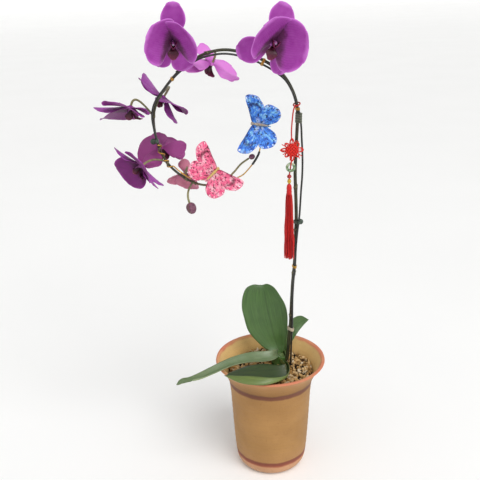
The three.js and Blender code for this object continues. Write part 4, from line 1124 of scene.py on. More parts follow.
leaves = [
    {"name": "leaf_upright", "skin": "upright",
     "left": [(9.5, 12, 141), (-4.8, 12, 146.6), (-15.2, 12, 157), (-25.3, 13, 170.4), (-30.1, 14, 187.2),
              (-32.7, 16, 201.5), (-31.2, 19, 215), (-26.7, 23, 223.5), (-18.8, 27, 225.8),
              (-12.2, 30, 224.4)],
     "midrib": [(12, 14, 140), (8.6, 17, 150), (5.2, 18.5, 163), (2.4, 20, 176), (-0.6, 21.5, 189),
                (-2.6, 23, 200), (-4.2, 25, 210.7), (-6, 27.2, 218.6), (-8, 28.8, 222.6), (-9.6, 30, 223.8)],
     "right": [(15.2, 12, 140.6), (19, 12.6, 148.3), (20.8, 13.6, 161.3), (22, 14.6, 176.2),
               (21.9, 15.6, 190.5), (19.4, 17, 202.5), (13.4, 20, 213.5), (6, 24, 223.2), (-1.6, 28, 225.9),
               (-7.2, 30, 224.2)]},
    {"name": "leaf_left", "skin": "strap",
     "right": [(10, 12, 146), (4, 4.5, 149), (-8, 1.2, 149.6), (-22.6, -4.6, 152), (-43.1, -17.6, 154),
              (-58.1, -27.7, 153), (-71.3, -35, 150), (-84.6, -38.7, 145), (-95.6, -38.6, 140),
              (-105.1, -35.2, 136), (-111.8, -32.6, 129)],
     "midrib": [(9, 11, 141), (1, -2, 142.5), (-10, -7.5, 143), (-23, -14, 146), (-43, -24.5, 148.5),
                (-57, -33.5, 148), (-69.5, -40.4, 145.6), (-82, -43, 140.6), (-92.6, -41.6, 136.6),
                (-102.6, -37, 132), (-111.5, -34.2, 127.2)],
     "left": [(11, 8, 138), (4, -9, 143.6), (-6, -15.4, 145), (-18, -19.4, 147.4), (-36, -27, 149.6),
               (-51, -35.2, 149.4), (-66.2, -43.6, 147), (-80, -45.2, 142.8), (-91.5, -41.6, 138),
               (-103, -36.8, 131.4), (-111.2, -35.4, 127)]},
    {"name": "leaf_front", "skin": "shadedFold",
     "right": [(10, 8, 137), (15.6, -3, 138), (16.4, -18, 142), (6.8, -28.7, 147), (-6.5, -30.5, 150),
              (-19.9, -33.7, 151), (-29.9, -35.8, 150.4), (-43.2, -42.1, 148.6), (-54.2, -47.8, 147.2)],
     "midrib": [(13, 7.4, 131), (18.6, -7, 133), (19, -29, 137.6), (13.2, -46.6, 141.4), (1.8, -58.4, 143.6),
                (-11.4, -65, 144.4), (-24.2, -65.6, 144.8), (-38, -61.4, 145.2), (-54.5, -48.8, 146.6)],
     "left": [(16, 6.2, 135), (21, -8, 137.6), (20.6, -33, 141.6), (14.6, -51.6, 146), (0.5, -61.2, 149.6),
               (-13.3, -61.6, 151), (-26.1, -58.9, 151), (-39.5, -55, 149.4), (-54.7, -48.6, 147.4)]},
    {"name": "leaf_back", "skin": "upright",
     "left": [(14.5, 21, 141), (21, 26, 158), (29.8, 32, 176.6), (40, 37, 178.1), (50, 42, 170.6)],
     "midrib": [(18, 21, 139.5), (25, 27, 153.5), (33.4, 32.4, 165.8), (42, 37.8, 170.4), (50.6, 42.2, 170)],
     "right": [(21, 19, 139), (28.4, 24, 149.6), (35.4, 29, 158.6), (43.2, 36, 165.1), (50.2, 41.8, 169.4)]},
]
leafTints = {
    # upper side, its streaks, the dusty part near the root with painted sheen, the underside, and the midrib
    "upright": ("#30501c", "#456a2b", "#62804c", "#7d8c50", "#263a16"),
    "strap": ("#496035", "#71845a", "#8f9c7e", "#8a9a66", "#35491f"),
    # the folded leaf's upper side is painted dark, as the shade inside the fold
    "shadedFold": ("#26361a", "#384a22", "#42542c", "#7d9048", "#1d2b12"),
}


def makeLeafSkin(name, upper, streaks, dust, under, rib):
    # A thick waxy leaf: close parallel veins along its length, a dark midrib, a broad soft gloss, and
    # near the root a paler part that is partly hard water dust and partly painted sheen.
    material, add, place = startMaterial(f"{name} leaf", {
        "IOR": 1.45, "Subsurface Weight": 0.04, "Subsurface Scale": 0.002, "Coat Weight": 0.25,
        "Coat Roughness": 0.3,
    })
    split = add("SeparateXYZ", [add("UVMap", uv_map="surface")])
    u, v = split.outputs["X"], split.outputs["Y"]
    grain = add("CombineXYZ", [add("Math.MULTIPLY", [u, 4.0]), add("Math.MULTIPLY", [v, 50.0])])
    lines = add("TexNoise", [grain, 1.0, 3.0])
    cloud = add("TexNoise", [place, 1000 / 12, 4.0])
    side = add("Math.ABSOLUTE", [add("Math.SUBTRACT", [v, 0.5])])
    groove = add("Math.POWER", [add("Math.SUBTRACT", [1.0, side]), 60.0])
    # the paler part near the root is partly dust and partly painted sheen
    old = add("ValToRGB", [u], [(0.1, "#e0e0e0"), (0.75, "#202020")])
    fade = add("ValToRGB", [u], [(0.55, "#b8b8b8"), (1.0, "#303030")])
    colour = upper
    for share, over in (
        (add("ValToRGB", [lines], [(0.38, "#000000"), (0.68, "#ffffff")]), streaks),
        (add("Math.MULTIPLY", [cloud, old]), dust), (add("Math.MULTIPLY", [groove, fade]), rib),
    ):
        colour = add("Mix.RGBA", [share, colour, over])
    below = add("Mix.RGBA", [lines, under, dust])
    back = add("Attribute", attribute_name="back").outputs["Fac"]
    colour = add("Mix.RGBA", [back, colour, below])
    rough = add("Math.MULTIPLY_ADD", [cloud, 0.3, 0.24])
    return finishMaterial(material, colour, rough, lines, 0.16)


leafSkins = {name: makeLeafSkin(name, *codes) for name, codes in leafTints.items()}
makeCrown(**crown)


def makeLeaf(name, skin, left, midrib, right, rows=64, columns=33, thickness=1.4):
    lines = [np.array(line, float) for line in (left, midrib, right)]
    last = len(left) - 1
    grid = np.zeros((rows, columns, 3))
    depth = np.zeros((rows, columns))
    for i, s in enumerate(np.linspace(0, 1, rows)):
        u = 1 - (1 - s) ** 1.25
        a, b, c = (curvePoint(line, min(u * last, last - 1e-6)) for line in lines)
        bow = (a + c) / 2 - b
        close = math.sqrt(max(1 - max((u - 0.94) / 0.06, 0) ** 2, 0.0004))  # rounds the tip off
        for j, v in enumerate(np.linspace(-1, 1, columns)):
            groove = 0.5 * math.exp(-((v / 0.05) ** 2)) * (1 - u)
            w = v * close
            grid[i, j] = b + (c - a) * w / 2 + bow * (w * w) - unit(bow + 1e-6) * groove * 0.4
            depth[i, j] = thickness * (1 - 0.6 * v**6) * (1 - 0.5 * u**6)
    makePiece(name.replace("_", ""), [bladeShape(grid, depth)], [leafSkins[skin]], [name])


for leaf in leaves:
    makeLeaf(**leaf)
print("leaves made")

# Ties, clips and tape that hold the spike to the wire

ties = [
    {"name": "clip_base", "at": 1.7, "height": 4, "kind": "clip", "finish": "beige", "wall": 1.1},
    {"name": "tie_stake", "at": 5, "height": 2.6, "kind": "winding", "finish": "gold"},
    {"name": "clip_stake", "at": 7.55, "height": 4, "kind": "clip", "finish": "green", "wall": 0.9,
     "knob": 3.3},
    {"name": "tape_wrap", "at": 13.75, "height": 11, "kind": "tape", "finish": "tape", "wall": 0.8},
    {"name": "tie_shoulder", "at": 14.6, "height": 2.2, "kind": "winding", "finish": "gold"},
    {"name": "tie_hoop_right", "at": 19.1, "height": 2.4, "kind": "winding", "finish": "gold"},
    {"name": "tie_hoop_left", "at": 24.8, "height": 2.4, "kind": "winding", "finish": "gold"},
    {"name": "clip_hoop", "at": 29.9, "height": 4, "kind": "clip", "finish": "green", "wall": 0.9,
     "knob": 3.4},
]
winding = {"strand": 0.42, "offset": 0.45, "pitch": 0.86, "tilt": 0.05, "leastTurns": 3}
tape = {"laps": 4, "steps": 9, "step": 0.3, "edge": 0.25}


def makePlastic(name, dark, pale):
    # Injection-moulded clip plastic with a soft gloss, clouded between a darker and a paler tone.
    return makeClouded(name, 3, [(0.35, dark), (0.75, pale)], 0.06, {"IOR": 1.49}, 4.0, (0.3, 0.25))


def makeTapeSkin():
    # Stretched florist's tape: dull waxed crepe, painted dark at each lap's edge as the shade where it
    # covers the one under it.
    material, add, place = startMaterial("florist tape", {"Roughness": 0.7})
    split = add("SeparateXYZ", [add("UVMap", uv_map="surface")])
    along, around = split.outputs["X"], split.outputs["Y"]
    wound = add("Math.MULTIPLY_ADD", [along, 1 / 2.7, around])  # a lap in 2.7 mm
    lapShadeAndRelief = add("Math.FRACT", [wound])
    # painted shade at the edge of each lap
    colour = add("ValToRGB", [lapShadeAndRelief], [(0.0, "#2c2f26"), (0.2, "#4c5142"), (0.9, "#6d7162")])
    crepe = add("TexNoise", [place, 1000 / 0.5])
    relief = add("Math.ADD", [lapShadeAndRelief, crepe])
    return finishMaterial(material, colour, None, relief, 0.3)


# Gold-coloured florist's wire: drawn brass with a lacquer that has dulled unevenly.
gold = makeClouded(
    "gold wire", 3, [(0.3, "#a8742c"), (0.7, "#e0b455")], 0.05, {"Metallic": 0.85}, 4.0, (0.3, 0.2),
)
finishes = {
    "gold": (gold, "gold_wire"), "tape": (makeTapeSkin(), "tape"),
    "beige": (makePlastic("beige clip plastic", "#a7967f", "#c8baa4"), "beige_clip"),
    "green": (makePlastic("green clip plastic", "#26352a", "#4d5f50"), "green_clip"),
}


def windingTree():
    tree, add, start = newTree(
        "stackTurns", {"Turns": "Int", "Pitch": "Float", "Tilt": "Float", "Finish": "Material"}
    )
    height = add("Math.MULTIPLY", [start["Turns"], start["Pitch"]])
    foot = add("CombineXYZ", {"Z": add("Math.MULTIPLY", [height, -0.5])})
    step = add("CombineXYZ", {"Z": start["Pitch"]})
    line = add("MeshLine", {"Count": start["Turns"], "Start Location": foot, "Offset": step})
    low, high = (
        add("VectorMath.SCALE", {0: (sign, sign, 0), "Scale": start["Tilt"]}) for sign in (-1, 1)
    )
    lean = add("RandomValue.FLOAT_VECTOR", {"Min": low, "Max": high, "Seed": 5})
    turns = add("InstanceOnPoints", {"Points": line, "Instance": start["Geometry"], "Rotation": lean})
    solid = add("RealizeInstances", [turns])
    add("NodeGroupOutput", [add("SetMaterial", {"Geometry": solid, "Material": start["Finish"]})])
    return tree


turnTree = windingTree()


def sleeveRing(spikeRadius, away, offset, height, points=12):
    # one turn round both the spike and the wire, in the sleeve's own frame
    ring = []
    for middle, radius, first in ((0, spikeRadius, 0.5), (away, wire["radius"], -0.5)):
        reach = radius + offset
        for a in np.linspace(first * math.pi, (first + 1) * math.pi, points):
            ring.append((middle + reach * math.cos(a), reach * math.sin(a), height))
    return ring


def makeWinding(name, height, ring, tieFrame, material):
    turnPath = evenPath(ring(winding["offset"], 0), 40, closed=True)
    strand = tubeShape(turnPath, winding["strand"], 8, loop=True)
    piece = grow(name, turnTree, strand["points"] * mm, strand["faces"], {
        "Turns": max(winding["leastTurns"], round(height / winding["pitch"])),
        "Pitch": winding["pitch"] * mm, "Tilt": winding["tilt"], "Finish": material,
    })
    turn, place = tieFrame
    piece.data.transform(Matrix.Translation(Vector(place) * mm) @ Matrix(turn.tolist()).to_4x4())
    return piece


def sleeveRows(kind, wall):
    # the section of a sleeve: the way out from the stem, then the share of its height
    if kind == "clip":
        half = [(wall + 0.12, 0.2), (wall + 0.1, 0.42), (wall - 0.1, 0.5), (0.45, 0.5), (0.3, 0.44)]
        return [(out, -share) for out, share in reversed(half)] + half
    steps = tape["steps"]
    count = tape["laps"] * steps
    laps = [
        (wall - 0.1 + tape["step"] * ((k / steps) % 1), k / count - 0.5) for k in range(count + 1)
    ]
    return [(tape["edge"], -0.5), *laps, (tape["edge"], 0.5)]


def knobShape(knob):
    # a round knob with a groove about its middle
    profile = []
    for a in np.linspace(0.1, math.pi - 0.1, 30):
        groove = 0.12 * math.exp(-(((a - math.pi / 2) / 0.09) ** 2))
        profile.append((knob * math.sin(a) * (1 - groove), -0.86 * knob * math.cos(a)))
    return turnedShape(profile, 30)


def makeTie(name, at, height, kind, finish, wall=None, knob=None):
    station, tangent, outward = spikeStation(at)
    toWire = curvePoint(wireRows, len(wire["foot"]) + at) - station
    toWire = toWire - tangent * (toWire @ tangent)
    x = unit(toWire)
    tieFrame = basis(x, np.cross(tangent, x), tangent, station)
    spikeRadius = fromTable(spike["radius"], at / len(spike["route"]))
    ring = functools.partial(sleeveRing, spikeRadius, float(np.linalg.norm(toWire)))
    material, slot = finishes[finish]
    pieceName = name.replace("_", "")
    if kind == "winding":
        dress(makeWinding(pieceName, height, ring, tieFrame, material), [name])
        return
    rows = sleeveRows(kind, wall)
    grid = np.array([ring(offset, share * height) for offset, share in rows])
    along = np.array([share * height for _, share in rows] + [rows[0][1] * height])
    shapes = [moved(gridShape(grid, closed=True, loop=True, along=along), tieFrame)]
    if knob:
        centre = station + outward * (spikeRadius + 0.3 + wall + 0.5 * knob)
        shapes.append(moved(knobShape(knob), basis(outward, tangent, np.cross(outward, tangent), centre)))
    makePiece(pieceName, shapes, [material], [name])


for tie in ties:
    makeTie(**tie)
print("ties made")

# Gold wire that carries the butterflies

decorWire = {
    "radius": 0.7, "low": 30.2, "high": 32.2, "turns": 3.25, "away": 2.5, "steps": 26,
    "route": [
        (-98, 4.6, 373.5), (-88, 4.6, 366.4), (-78, 4.4, 363.6), (-68, 4.2, 363), (-57, 4, 361.8),
        (-46, 3.8, 361.6), (-36, 4, 364.2), (-28.5, 4.4, 367.4), (-22.5, 4.8, 373), (-17, 5, 379.6),
        (-12.6, 5, 386), (-9.6, 5, 392.5), (-8.3, 5, 400), (-8.6, 5.2, 410), (-9.4, 5.4, 424),
    ],
    "sleeve": (9, 11), "sleeveRadius": 1.25,
}


def makeDecorWire(radius, low, high, turns, away, steps, route, sleeve, sleeveRadius):
    rows = []
    for share in np.linspace(0, 1, steps):
        angle = math.pi / 2 + 2 * math.pi * turns * share
        rows.append(tuple(besideSpike(low + share * (high - low), angle, away)))
    path = evenPath(rows + route, 520)
    first, last = (int(np.argmin(np.linalg.norm(path - route[k], axis=1))) for k in sleeve)
    cover = tubeShape(path[first : last + 1], sleeveRadius, 14)
    shapes = [tubeShape(path, radius, 10), painted(cover, 1)]
    makePiece("decorWire", shapes, [gold, blackWire], ["decor_wire"])


makeDecorWire(**decorWire)
print("gold wire made")

# Butterflies

wings = {
    "fore": [(6.5, 1.2), (9.5, 6), (13, 15), (19, 29), (19.5, 33), (15, 35.5), (7.5, 34.5), (2.5, 30),
             (-0.9, 25), (-2.6, 16), (-2.6, 7), (-1.5, 1.2)],
    "hind": [(0.5, 1.2), (0.8, 8), (0.2, 17), (-1.6, 23.6), (-5, 26.5), (-12, 26), (-18.5, 22), (-21, 15.5),
             (-19, 9), (-13.5, 4.5), (-7, 1.2)],
    "heights": {"hind": -0.2, "fore": 0.3},
    "thickness": 0.45, "rays": 90, "rings": 26, "arch": 1.6, "fold": 0.35, "hinge": 1.2,
    "spine": {"radii": (10, 1.2, 0.5), "at": (-3, 0, 0)},
    "post": [(1.6, -8), (2.1, -7.6), (2.2, -6.6), (2.0, -3), (2.2, -0.6), (1.4, 0)],
    "body": [(0.12, -9.5), (0.7, -9), (1.1, -4), (1.5, 3), (1.1, 6), (1.8, 7.6), (1.5, 9), (0.4, 9.5)],
    "bodyHeight": 2.2, "bodyTurns": {"depth": 0.12, "pitch": 1.1},
}
butterflies = [
    {"name": "butterfly_blue", "at": (-9.3, 1.6, 423), "head": (-0.984, 0, 0.175), "face": (0.05, -1, 0.42),
     "lift": (6, 42), "boss": 0, "skin": "blue", "slot": "brown_body"},
    {"name": "butterfly_pink", "at": (-60.5, -0.4, 371.5), "head": (0.722, 0, 0.69), "face": (0, -1, 0.2),
     "lift": (14, 22), "boss": -11, "skin": "pink", "slot": "gold_body"},
]
wingTints = {
    # ground, second ground, light flecks, veins, dark spots, hem, hem spots, leading edge
    "blue": ("#2461cf", "#4a92ea", "#a2e4f6", "#173a94", "#10133f", "#8d90d6", "#f2f6ff", "#150e2a"),
    "pink": ("#ee5286", "#f787a4", "#ffd8df", "#d22c66", "#5a1228", "#f0a0b4", "#fff2f4", "#260a12"),
}
bodyTints = {"blue": ("#6b4a30", "#e6dccb"), "pink": ("#d8a63f", "#f5df9a")}


def makeWingSkin(name, ground, second, fleck, vein, spot, hem, hemSpot, lead):
    # Dyed and printed feather on a card: streaks run from the body to the margin, with forking veins,
    # an uneven pale hem with spots, dark dashes along the leading edge, and glitter flecks painted white as
    # glints.
    material, add, place = startMaterial(
        f"{name} wing", {"Roughness": 0.5, "IOR": 1.55, "Specular IOR Level": 0.3}
    )
    split = add("SeparateXYZ", [add("UVMap", uv_map="surface")])
    u, v = split.outputs["X"], split.outputs["Y"]
    barbs = add("CombineXYZ", [add("Math.MULTIPLY", [u, 6.0]), add("Math.MULTIPLY", [v, 60.0])])
    streak = add("TexNoise", [barbs, 1.0, 3.0])
    patch = add("TexNoise", [place, 1000 / 5])
    fine = add("TexNoise", [place, 1000 / 2.2, 1.0])
    stray = add("Math.MULTIPLY_ADD", [patch, 0.06, v])
    wave, bead, dash = (
        add("Math.SINE", [add("Math.MULTIPLY", [way, math.pi * count])])
        for way, count in ((stray, 13), (stray, 24), (u, 22))
    )
    line = add("Math.POWER", [add("Math.SUBTRACT", [1.0, add("Math.ABSOLUTE", [wave])]), 5.0])
    ragged = add("Math.MULTIPLY_ADD", [add("Math.SUBTRACT", [patch, 0.5]), 0.45, u])
    onHem = add("Math.COMPARE", [u, 0.94, 0.03])
    dots = add("Math.MULTIPLY", [onHem, add("Math.GREATER_THAN", [bead, 0.86])])
    dashes = add("Math.MULTIPLY_ADD", [dash, 1.4, 0.9], use_clamp=True)
    ahead, bar = (add("Attribute", attribute_name=mark).outputs["Fac"] for mark in ("ahead", "bar"))
    colour = ground
    for share, over in (  # each is laid over those above it
        (add("ValToRGB", [streak], [(0.35, "#000000"), (0.65, "#ffffff")]), second),
        (add("ValToRGB", [patch], [(0.5, "#000000"), (0.64, "#c8c8c8")]), fleck),
        (add("ValToRGB", [patch], [(0.36, "#c8c8c8"), (0.42, "#000000")]), vein),
        (add("Math.MULTIPLY", [line, 0.75]), vein),
        (add("ValToRGB", [ragged], [(0.9, "#000000"), (0.97, "#a0a0a0")]), hem),
        (add("Math.MULTIPLY", [dots, 0.8]), hemSpot),
        (add("Math.MULTIPLY", [ahead, dashes]), lead),
        (add("Math.MULTIPLY", [bar, 0.85]), spot),
        (add("ValToRGB", [u], [(0.14, "#a0a0a0"), (0.3, "#000000")]), hemSpot),
        (add("ValToRGB", [fine], [(0.6, "#000000"), (0.63, "#f0f0f0")]), spot),
        # white flecks: the glints of the glitter, painted in
        (add("ValToRGB", [fine], [(0.26, "#a0a0a0"), (0.3, "#000000")]), hemSpot),
    ):
        colour = add("Mix.RGBA", [share, colour, over])
    relief = add("Math.ADD", [streak, line])
    return finishMaterial(material, colour, None, relief, 0.25)


def makeBodySkin(name, dark, pale):
    # A body of wound chenille thread in fine turns: painted shade dark in the grooves, painted highlight
    # pale on top.
    material, add, place = startMaterial(f"{name} body", {"Roughness": 0.7, "Sheen Weight": 0.3})
    u = add("SeparateXYZ", [add("UVMap", uv_map="surface")]).outputs["X"]
    turns = add("Math.SINE", [add("Math.MULTIPLY", [u, 2 * math.pi * 24])])
    cloud = add("TexNoise", [place, 1000 / 1.2])
    wound = add("Math.MULTIPLY_ADD", [turns, 0.3, cloud])
    # dark in the grooves as painted shade, pale on the crests as painted highlight
    colour = add("ValToRGB", [wound], [(0.35, dark), (0.75, pale)])
    return finishMaterial(material, colour, None, turns, 0.2)


def wingShape(side, lift, part):
    root = np.array((0, 1.0, 0))
    rays, rings = wings["rays"], wings["rings"]
    rim = evenPath([(ahead, out, 0) for ahead, out in wings[part]], rays)
    grid = np.zeros((rings, rays, 3))
    reach = np.linspace(0.02, 1, rings)
    for i, r in enumerate(reach):
        for j, p in enumerate(rim):
            flat = root + (p - root) * r
            fold = wings["fold"] * math.sin(j / rays * math.pi * 13) * r
            height = wings["arch"] * r * (1 - r) + fold + wings["heights"][part]
            grid[i, j] = (flat[0], side * (flat[1] - wings["hinge"]), height)
    if side > 0:
        grid = grid[:, ::-1]
    shape = bladeShape(grid, wings["thickness"])
    place = np.linspace(0, 1, rays)[::-side]
    # the leading edge has dark dashes, and a dark line runs inside the outer edge of the fore wing
    leading = np.clip((0.34 - place) / 0.05, 0, 1) * (part == "fore")
    outer = np.clip((place - 0.26) / 0.06, 0, 1) * np.clip((0.68 - place) / 0.08, 0, 1) * (part == "fore")
    ahead = np.clip((reach - 0.8) / 0.1, 0, 1)[:, None] * leading
    bar = np.exp(-(((reach - 0.7) / 0.05) ** 2))[:, None] * outer
    for name, values in (("ahead", ahead), ("bar", bar)):
        shape["marks"][name] = np.tile(values.ravel(), 2)
    return moved(shape, (turnAbout(0, side * lift), (0, 0, 0)))


def makeButterfly(name, at, head, face, lift, boss, skin, slot):
    x = unit(head)
    z = np.array(face, float)
    z = unit(z - x * (z @ x))
    ownFrame = basis(x, np.cross(z, x), z, at)
    shapes = [
        wingShape(side, angle, part) for side, angle in zip((1, -1), lift) for part in ("hind", "fore")
    ]
    shapes.append(ballShape(wings["spine"]["radii"], wings["spine"]["at"], 24, 16))
    shapes.append(shifted(turnedShape(wings["post"], 24), (boss, 0, 0)))
    label = name.replace("_", "")
    makePiece(
        f"{label}Wings", [moved(shape, ownFrame) for shape in shapes],
        [makeWingSkin(skin, *wingTints[skin])], [f"{name}_wings"],
    )
    turns = wings["bodyTurns"]
    profile = [
        (r + turns["depth"] * math.sin(h * 2 * math.pi / turns["pitch"]), h)
        for r, h in evenProfile(wings["body"], 44)
    ]
    onBack = basis((0, 0, -1), (0, 1, 0), (1, 0, 0), (0, 0, wings["bodyHeight"]))
    body = moved(moved(turnedShape(profile, 20), onBack), ownFrame)
    makePiece(f"{label}Body", [body], [makeBodySkin(skin, *bodyTints[skin])], [f"{name}_body"])


for butterfly in butterflies:
    makeButterfly(**butterfly)
print("butterflies made")

# Tassel

tassel = {
    "knotCentre": (25.8, -2, 395.6), "knotRadius": 6.88, "knotDepth": 2.6, "weave": 5, "cord": 0.75,
    # how far the long and the short loops stand from the knot's middle, and their half length and width
    "loops": 8, "longLoop": (8.6, 3.6, 2.0), "shortLoop": (7.6, 2.6, 2.0),
    "tufts": 14, "tuftReach": (9.5, 13.2), "tuftRadius": 0.5,
    "ringCentre": (24.4, -2, 376.4), "ringRadius": 4, "ringThickness": 1.5,
    "beadPlace": (22.8, -2, 0), "redBead": {"radius": 2.5, "halfHeight": 2.3, "height": 366.2},
    "giltBead": [
        (1.1, 358.2), (1.7, 358.5), (1.8, 359), (1.5, 359.3), (2.1, 360), (2.2, 360.7), (2.1, 361.4),
        (1.5, 362.1), (1.8, 362.4), (1.7, 362.9), (1.1, 363.2),
    ],
    "head": [(0.6, -12.4), (2.4, -12), (3, -11), (2.5, -8.4), (3, -5), (2.6, -1.8), (1.7, 0), (0.9, 0.2)],
    "bindings": (-8, -8.4, -8.8, -9.2), "bindingReach": (2.75, 2.65), "bindingRadius": 0.28,
    "skirtTop": (22.7, -2, 357.4), "skirtLength": 88, "drop": 7, "neck": 2.3, "flare": (4.2, 2.1, 0),
    "threads": 230, "threadRadius": 0.3, "seed": 21,
}


def weaveCord(across, offset, face, radius, depth, cord, phase):
    # one cord of the knot's basket weave, which goes over and under as it crosses the knot's front
    half = math.sqrt(max(radius**2 - offset**2, 1)) * 0.98
    rows = []
    for k, s in enumerate(np.linspace(-1, 1, 15)):
        along = s * half
        dome = depth * math.sqrt(max(1 - (along**2 + offset**2) / radius**2, 0))
        cross = 0.45 * cord * (1 if (k + phase) % 2 else -1)
        a, b = (along, offset) if across else (offset, along)
        x, z = (a + b) / math.sqrt(2), (a - b) / math.sqrt(2)
        rows.append((x, face * (dome + cross), z))
    return evenPath(rows, 46)


knotCord = makeSilk("bright red rayon cord", "#8f0a0c", "#d4150f", "#f03a2c")


def knotLoop(angle, middle, long, wide):
    # one petal-shaped loop of cord that stands out of the knot at an angle
    rows = []
    for a in aroundCircle(14):
        out, off = middle + long * math.cos(a), wide * math.sin(a) * (1 - 0.25 * math.cos(a))
        x, z = out * math.cos(angle) - off * math.sin(angle), out * math.sin(angle) + off * math.cos(angle)
        rows.append((x, 0.7 * math.sin(a), z))
    return evenPath(rows, 40, closed=True)


def makeKnot():
    radius, depth, cord, weave = (tassel[key] for key in ("knotRadius", "knotDepth", "cord", "weave"))
    shapes = [ballShape((radius * 0.96, depth * 0.8, radius * 0.96), (0, 0, 0), 28, 18)]
    spacing = 2 * radius / (weave + 0.6)
    for face in (-1, 1):
        for k in range(weave):
            offset = (k - (weave - 1) / 2) * spacing
            for across in (True, False):
                path = weaveCord(across, offset, face, radius, depth, cord, k + int(across))
                shapes.append(tubeShape(path, cord, 9))
    random.seed(12)
    for i in range(tassel["loops"]):
        angle = 2 * math.pi * i / tassel["loops"]
        path = knotLoop(angle, *tassel["shortLoop" if i % 2 else "longLoop"])
        shapes.append(tubeShape(path, cord, 9, loop=True))
    for i in range(tassel["tufts"]):
        angle = 2 * math.pi * (i + random.uniform(-0.3, 0.3)) / tassel["tufts"]
        reach = random.uniform(*tassel["tuftReach"])
        side, lean = random.uniform(-0.5, 0.5), random.uniform(-2.5, 2.5)
        rows = []
        for r in (4.5, 7, 9, reach):
            turn = angle + side * r / 30
            rows.append((r * math.cos(turn), -1.2 + lean * r / 13, r * math.sin(turn)))
        shapes.append(tubeShape(evenPath(rows, 14), tassel["tuftRadius"], 8))
    shapes = [shifted(shape, tassel["knotCentre"]) for shape in shapes]
    return makePiece("tasselKnot", shapes, [knotCord], ["tassel_knot"])


def makeJade():
    # Dyed jade: milky green with white cloud and a hard polish.
    return makeClouded("jade", 4, [(0.36, "#3f6b48"), (0.5, "#7d9468"), (0.66, "#d8e2cc")], 0.02, {
        "Roughness": 0.15, "IOR": 1.6, "Subsurface Weight": 0.2, "Subsurface Scale": 0.003,
    }, 5.0)


def makeBeadSkin(name, dark, pale, metallic, roughness):
    # A cast bead with a shiny skin, clouded between a darker and a paler tone.
    sockets = {"Roughness": roughness, "Metallic": metallic}
    return makeClouded(name, 1.4, [(0.35, dark), (0.7, pale)], 0.05, sockets)


def makeThreadSkin():
    # Rayon floss: fine straight threads with a long silky highlight, some lighter than others.
    material, add, place = startMaterial("red rayon floss", {
        "Roughness": 0.4, "IOR": 1.54, "Specular IOR Level": 0.3,
    })
    tone = add("Attribute", attribute_name="tone").outputs["Fac"]
    colour = add("ValToRGB", [tone], [(0.0, "#850a0d"), (0.5, "#bd1518"), (1.0, "#dd302b")])
    fine = add("TexNoise", [place, 1000 / 0.6])
    return finishMaterial(material, colour, None, fine, 0.1)


def threadTree():
    tree, add, start = newTree("hangThreads", {
        "Density": "Float", "Length": "Float", "Thread radius": "Float", "Flare": "Vector", "Seed": "Int",
        "Finish": "Material",
    })
    spread = add(
        "DistributePointsOnFaces",
        {"Mesh": start["Geometry"], "Density": start["Density"], "Seed": start["Seed"]},
    )
    line = add("CurvePrimitiveLine", {"Start": (0, 0, 0), "End": (0, 0, -1)})
    cut = add("ResampleCurve", {"Curve": line, "Count": 13})
    outline = add("CurvePrimitiveCircle", {"Resolution": 4, "Radius": 1.0})
    thread = add("CurveToMesh", {"Curve": cut, "Profile Curve": outline, "Fill Caps": True})
    trim = add("RandomValue.FLOAT", [0.9, 1.0, 0, 2])
    length = add("Math.MULTIPLY", [start["Length"], trim])
    scale = add("CombineXYZ", [start["Thread radius"], start["Thread radius"], length])
    strands = add("InstanceOnPoints", {"Points": spread, "Instance": thread, "Scale": scale})
    tone = add("RandomValue.FLOAT", [0.0, 1.0, 0, 9])
    toned = add(
        "StoreNamedAttribute.FLOAT", {"Geometry": strands, "Name": "tone", "Value": tone}, domain="INSTANCE",
    )
    lean = add("RandomValue.FLOAT_VECTOR", {"Min": (-1, -1, 0), "Max": (1, 1, 0), "Seed": 4})
    leaned = add(
        "StoreNamedAttribute.FLOAT_VECTOR", {"Geometry": toned, "Name": "lean", "Value": lean},
        domain="INSTANCE",
    )
    loose = add("RealizeInstances", [leaned])
    place = add("InputPosition")
    drop = add("Math.DIVIDE", [add("SeparateXYZ", [place]).outputs["Z"], start["Length"]])
    depth = add("Math.ABSOLUTE", [drop])
    share = add("Math.POWER", [depth, 0.4])
    wayOut = add("InputNamedAttribute.FLOAT_VECTOR", {"Name": "lean"})
    flared = add("VectorMath.MULTIPLY", [wayOut, start["Flare"]])
    flare = add("VectorMath.SCALE", {0: flared, "Scale": share})
    where = add("VectorMath.MULTIPLY_ADD", [wayOut, (0.02, 0.02, 0.02), place])
    wave = add("TexNoise", [where, 45.0, 1.0])
    centred = add("VectorMath.SUBTRACT", [wave.outputs["Color"], (0.5, 0.5, 0.5)])
    bend = add("Math.MULTIPLY", [depth, 0.006])
    kink = add("VectorMath.SCALE", {0: centred, "Scale": bend})
    shift = add("VectorMath.ADD", [flare, kink])
    hung = add("SetPosition", {"Geometry": loose, "Offset": shift})
    add("NodeGroupOutput", [add("SetMaterial", {"Geometry": hung, "Material": start["Finish"]})])
    return tree


def makeRing():
    radius = tassel["ringRadius"]
    run = [(radius * math.cos(a), 0, radius * math.sin(a)) for a in aroundCircle(60)]
    shape = tubeShape(np.array(tassel["ringCentre"]) + np.array(run), tassel["ringThickness"], 24, loop=True)
    return makePiece("tasselRing", [shape], [makeJade()], ["tassel_ring"])


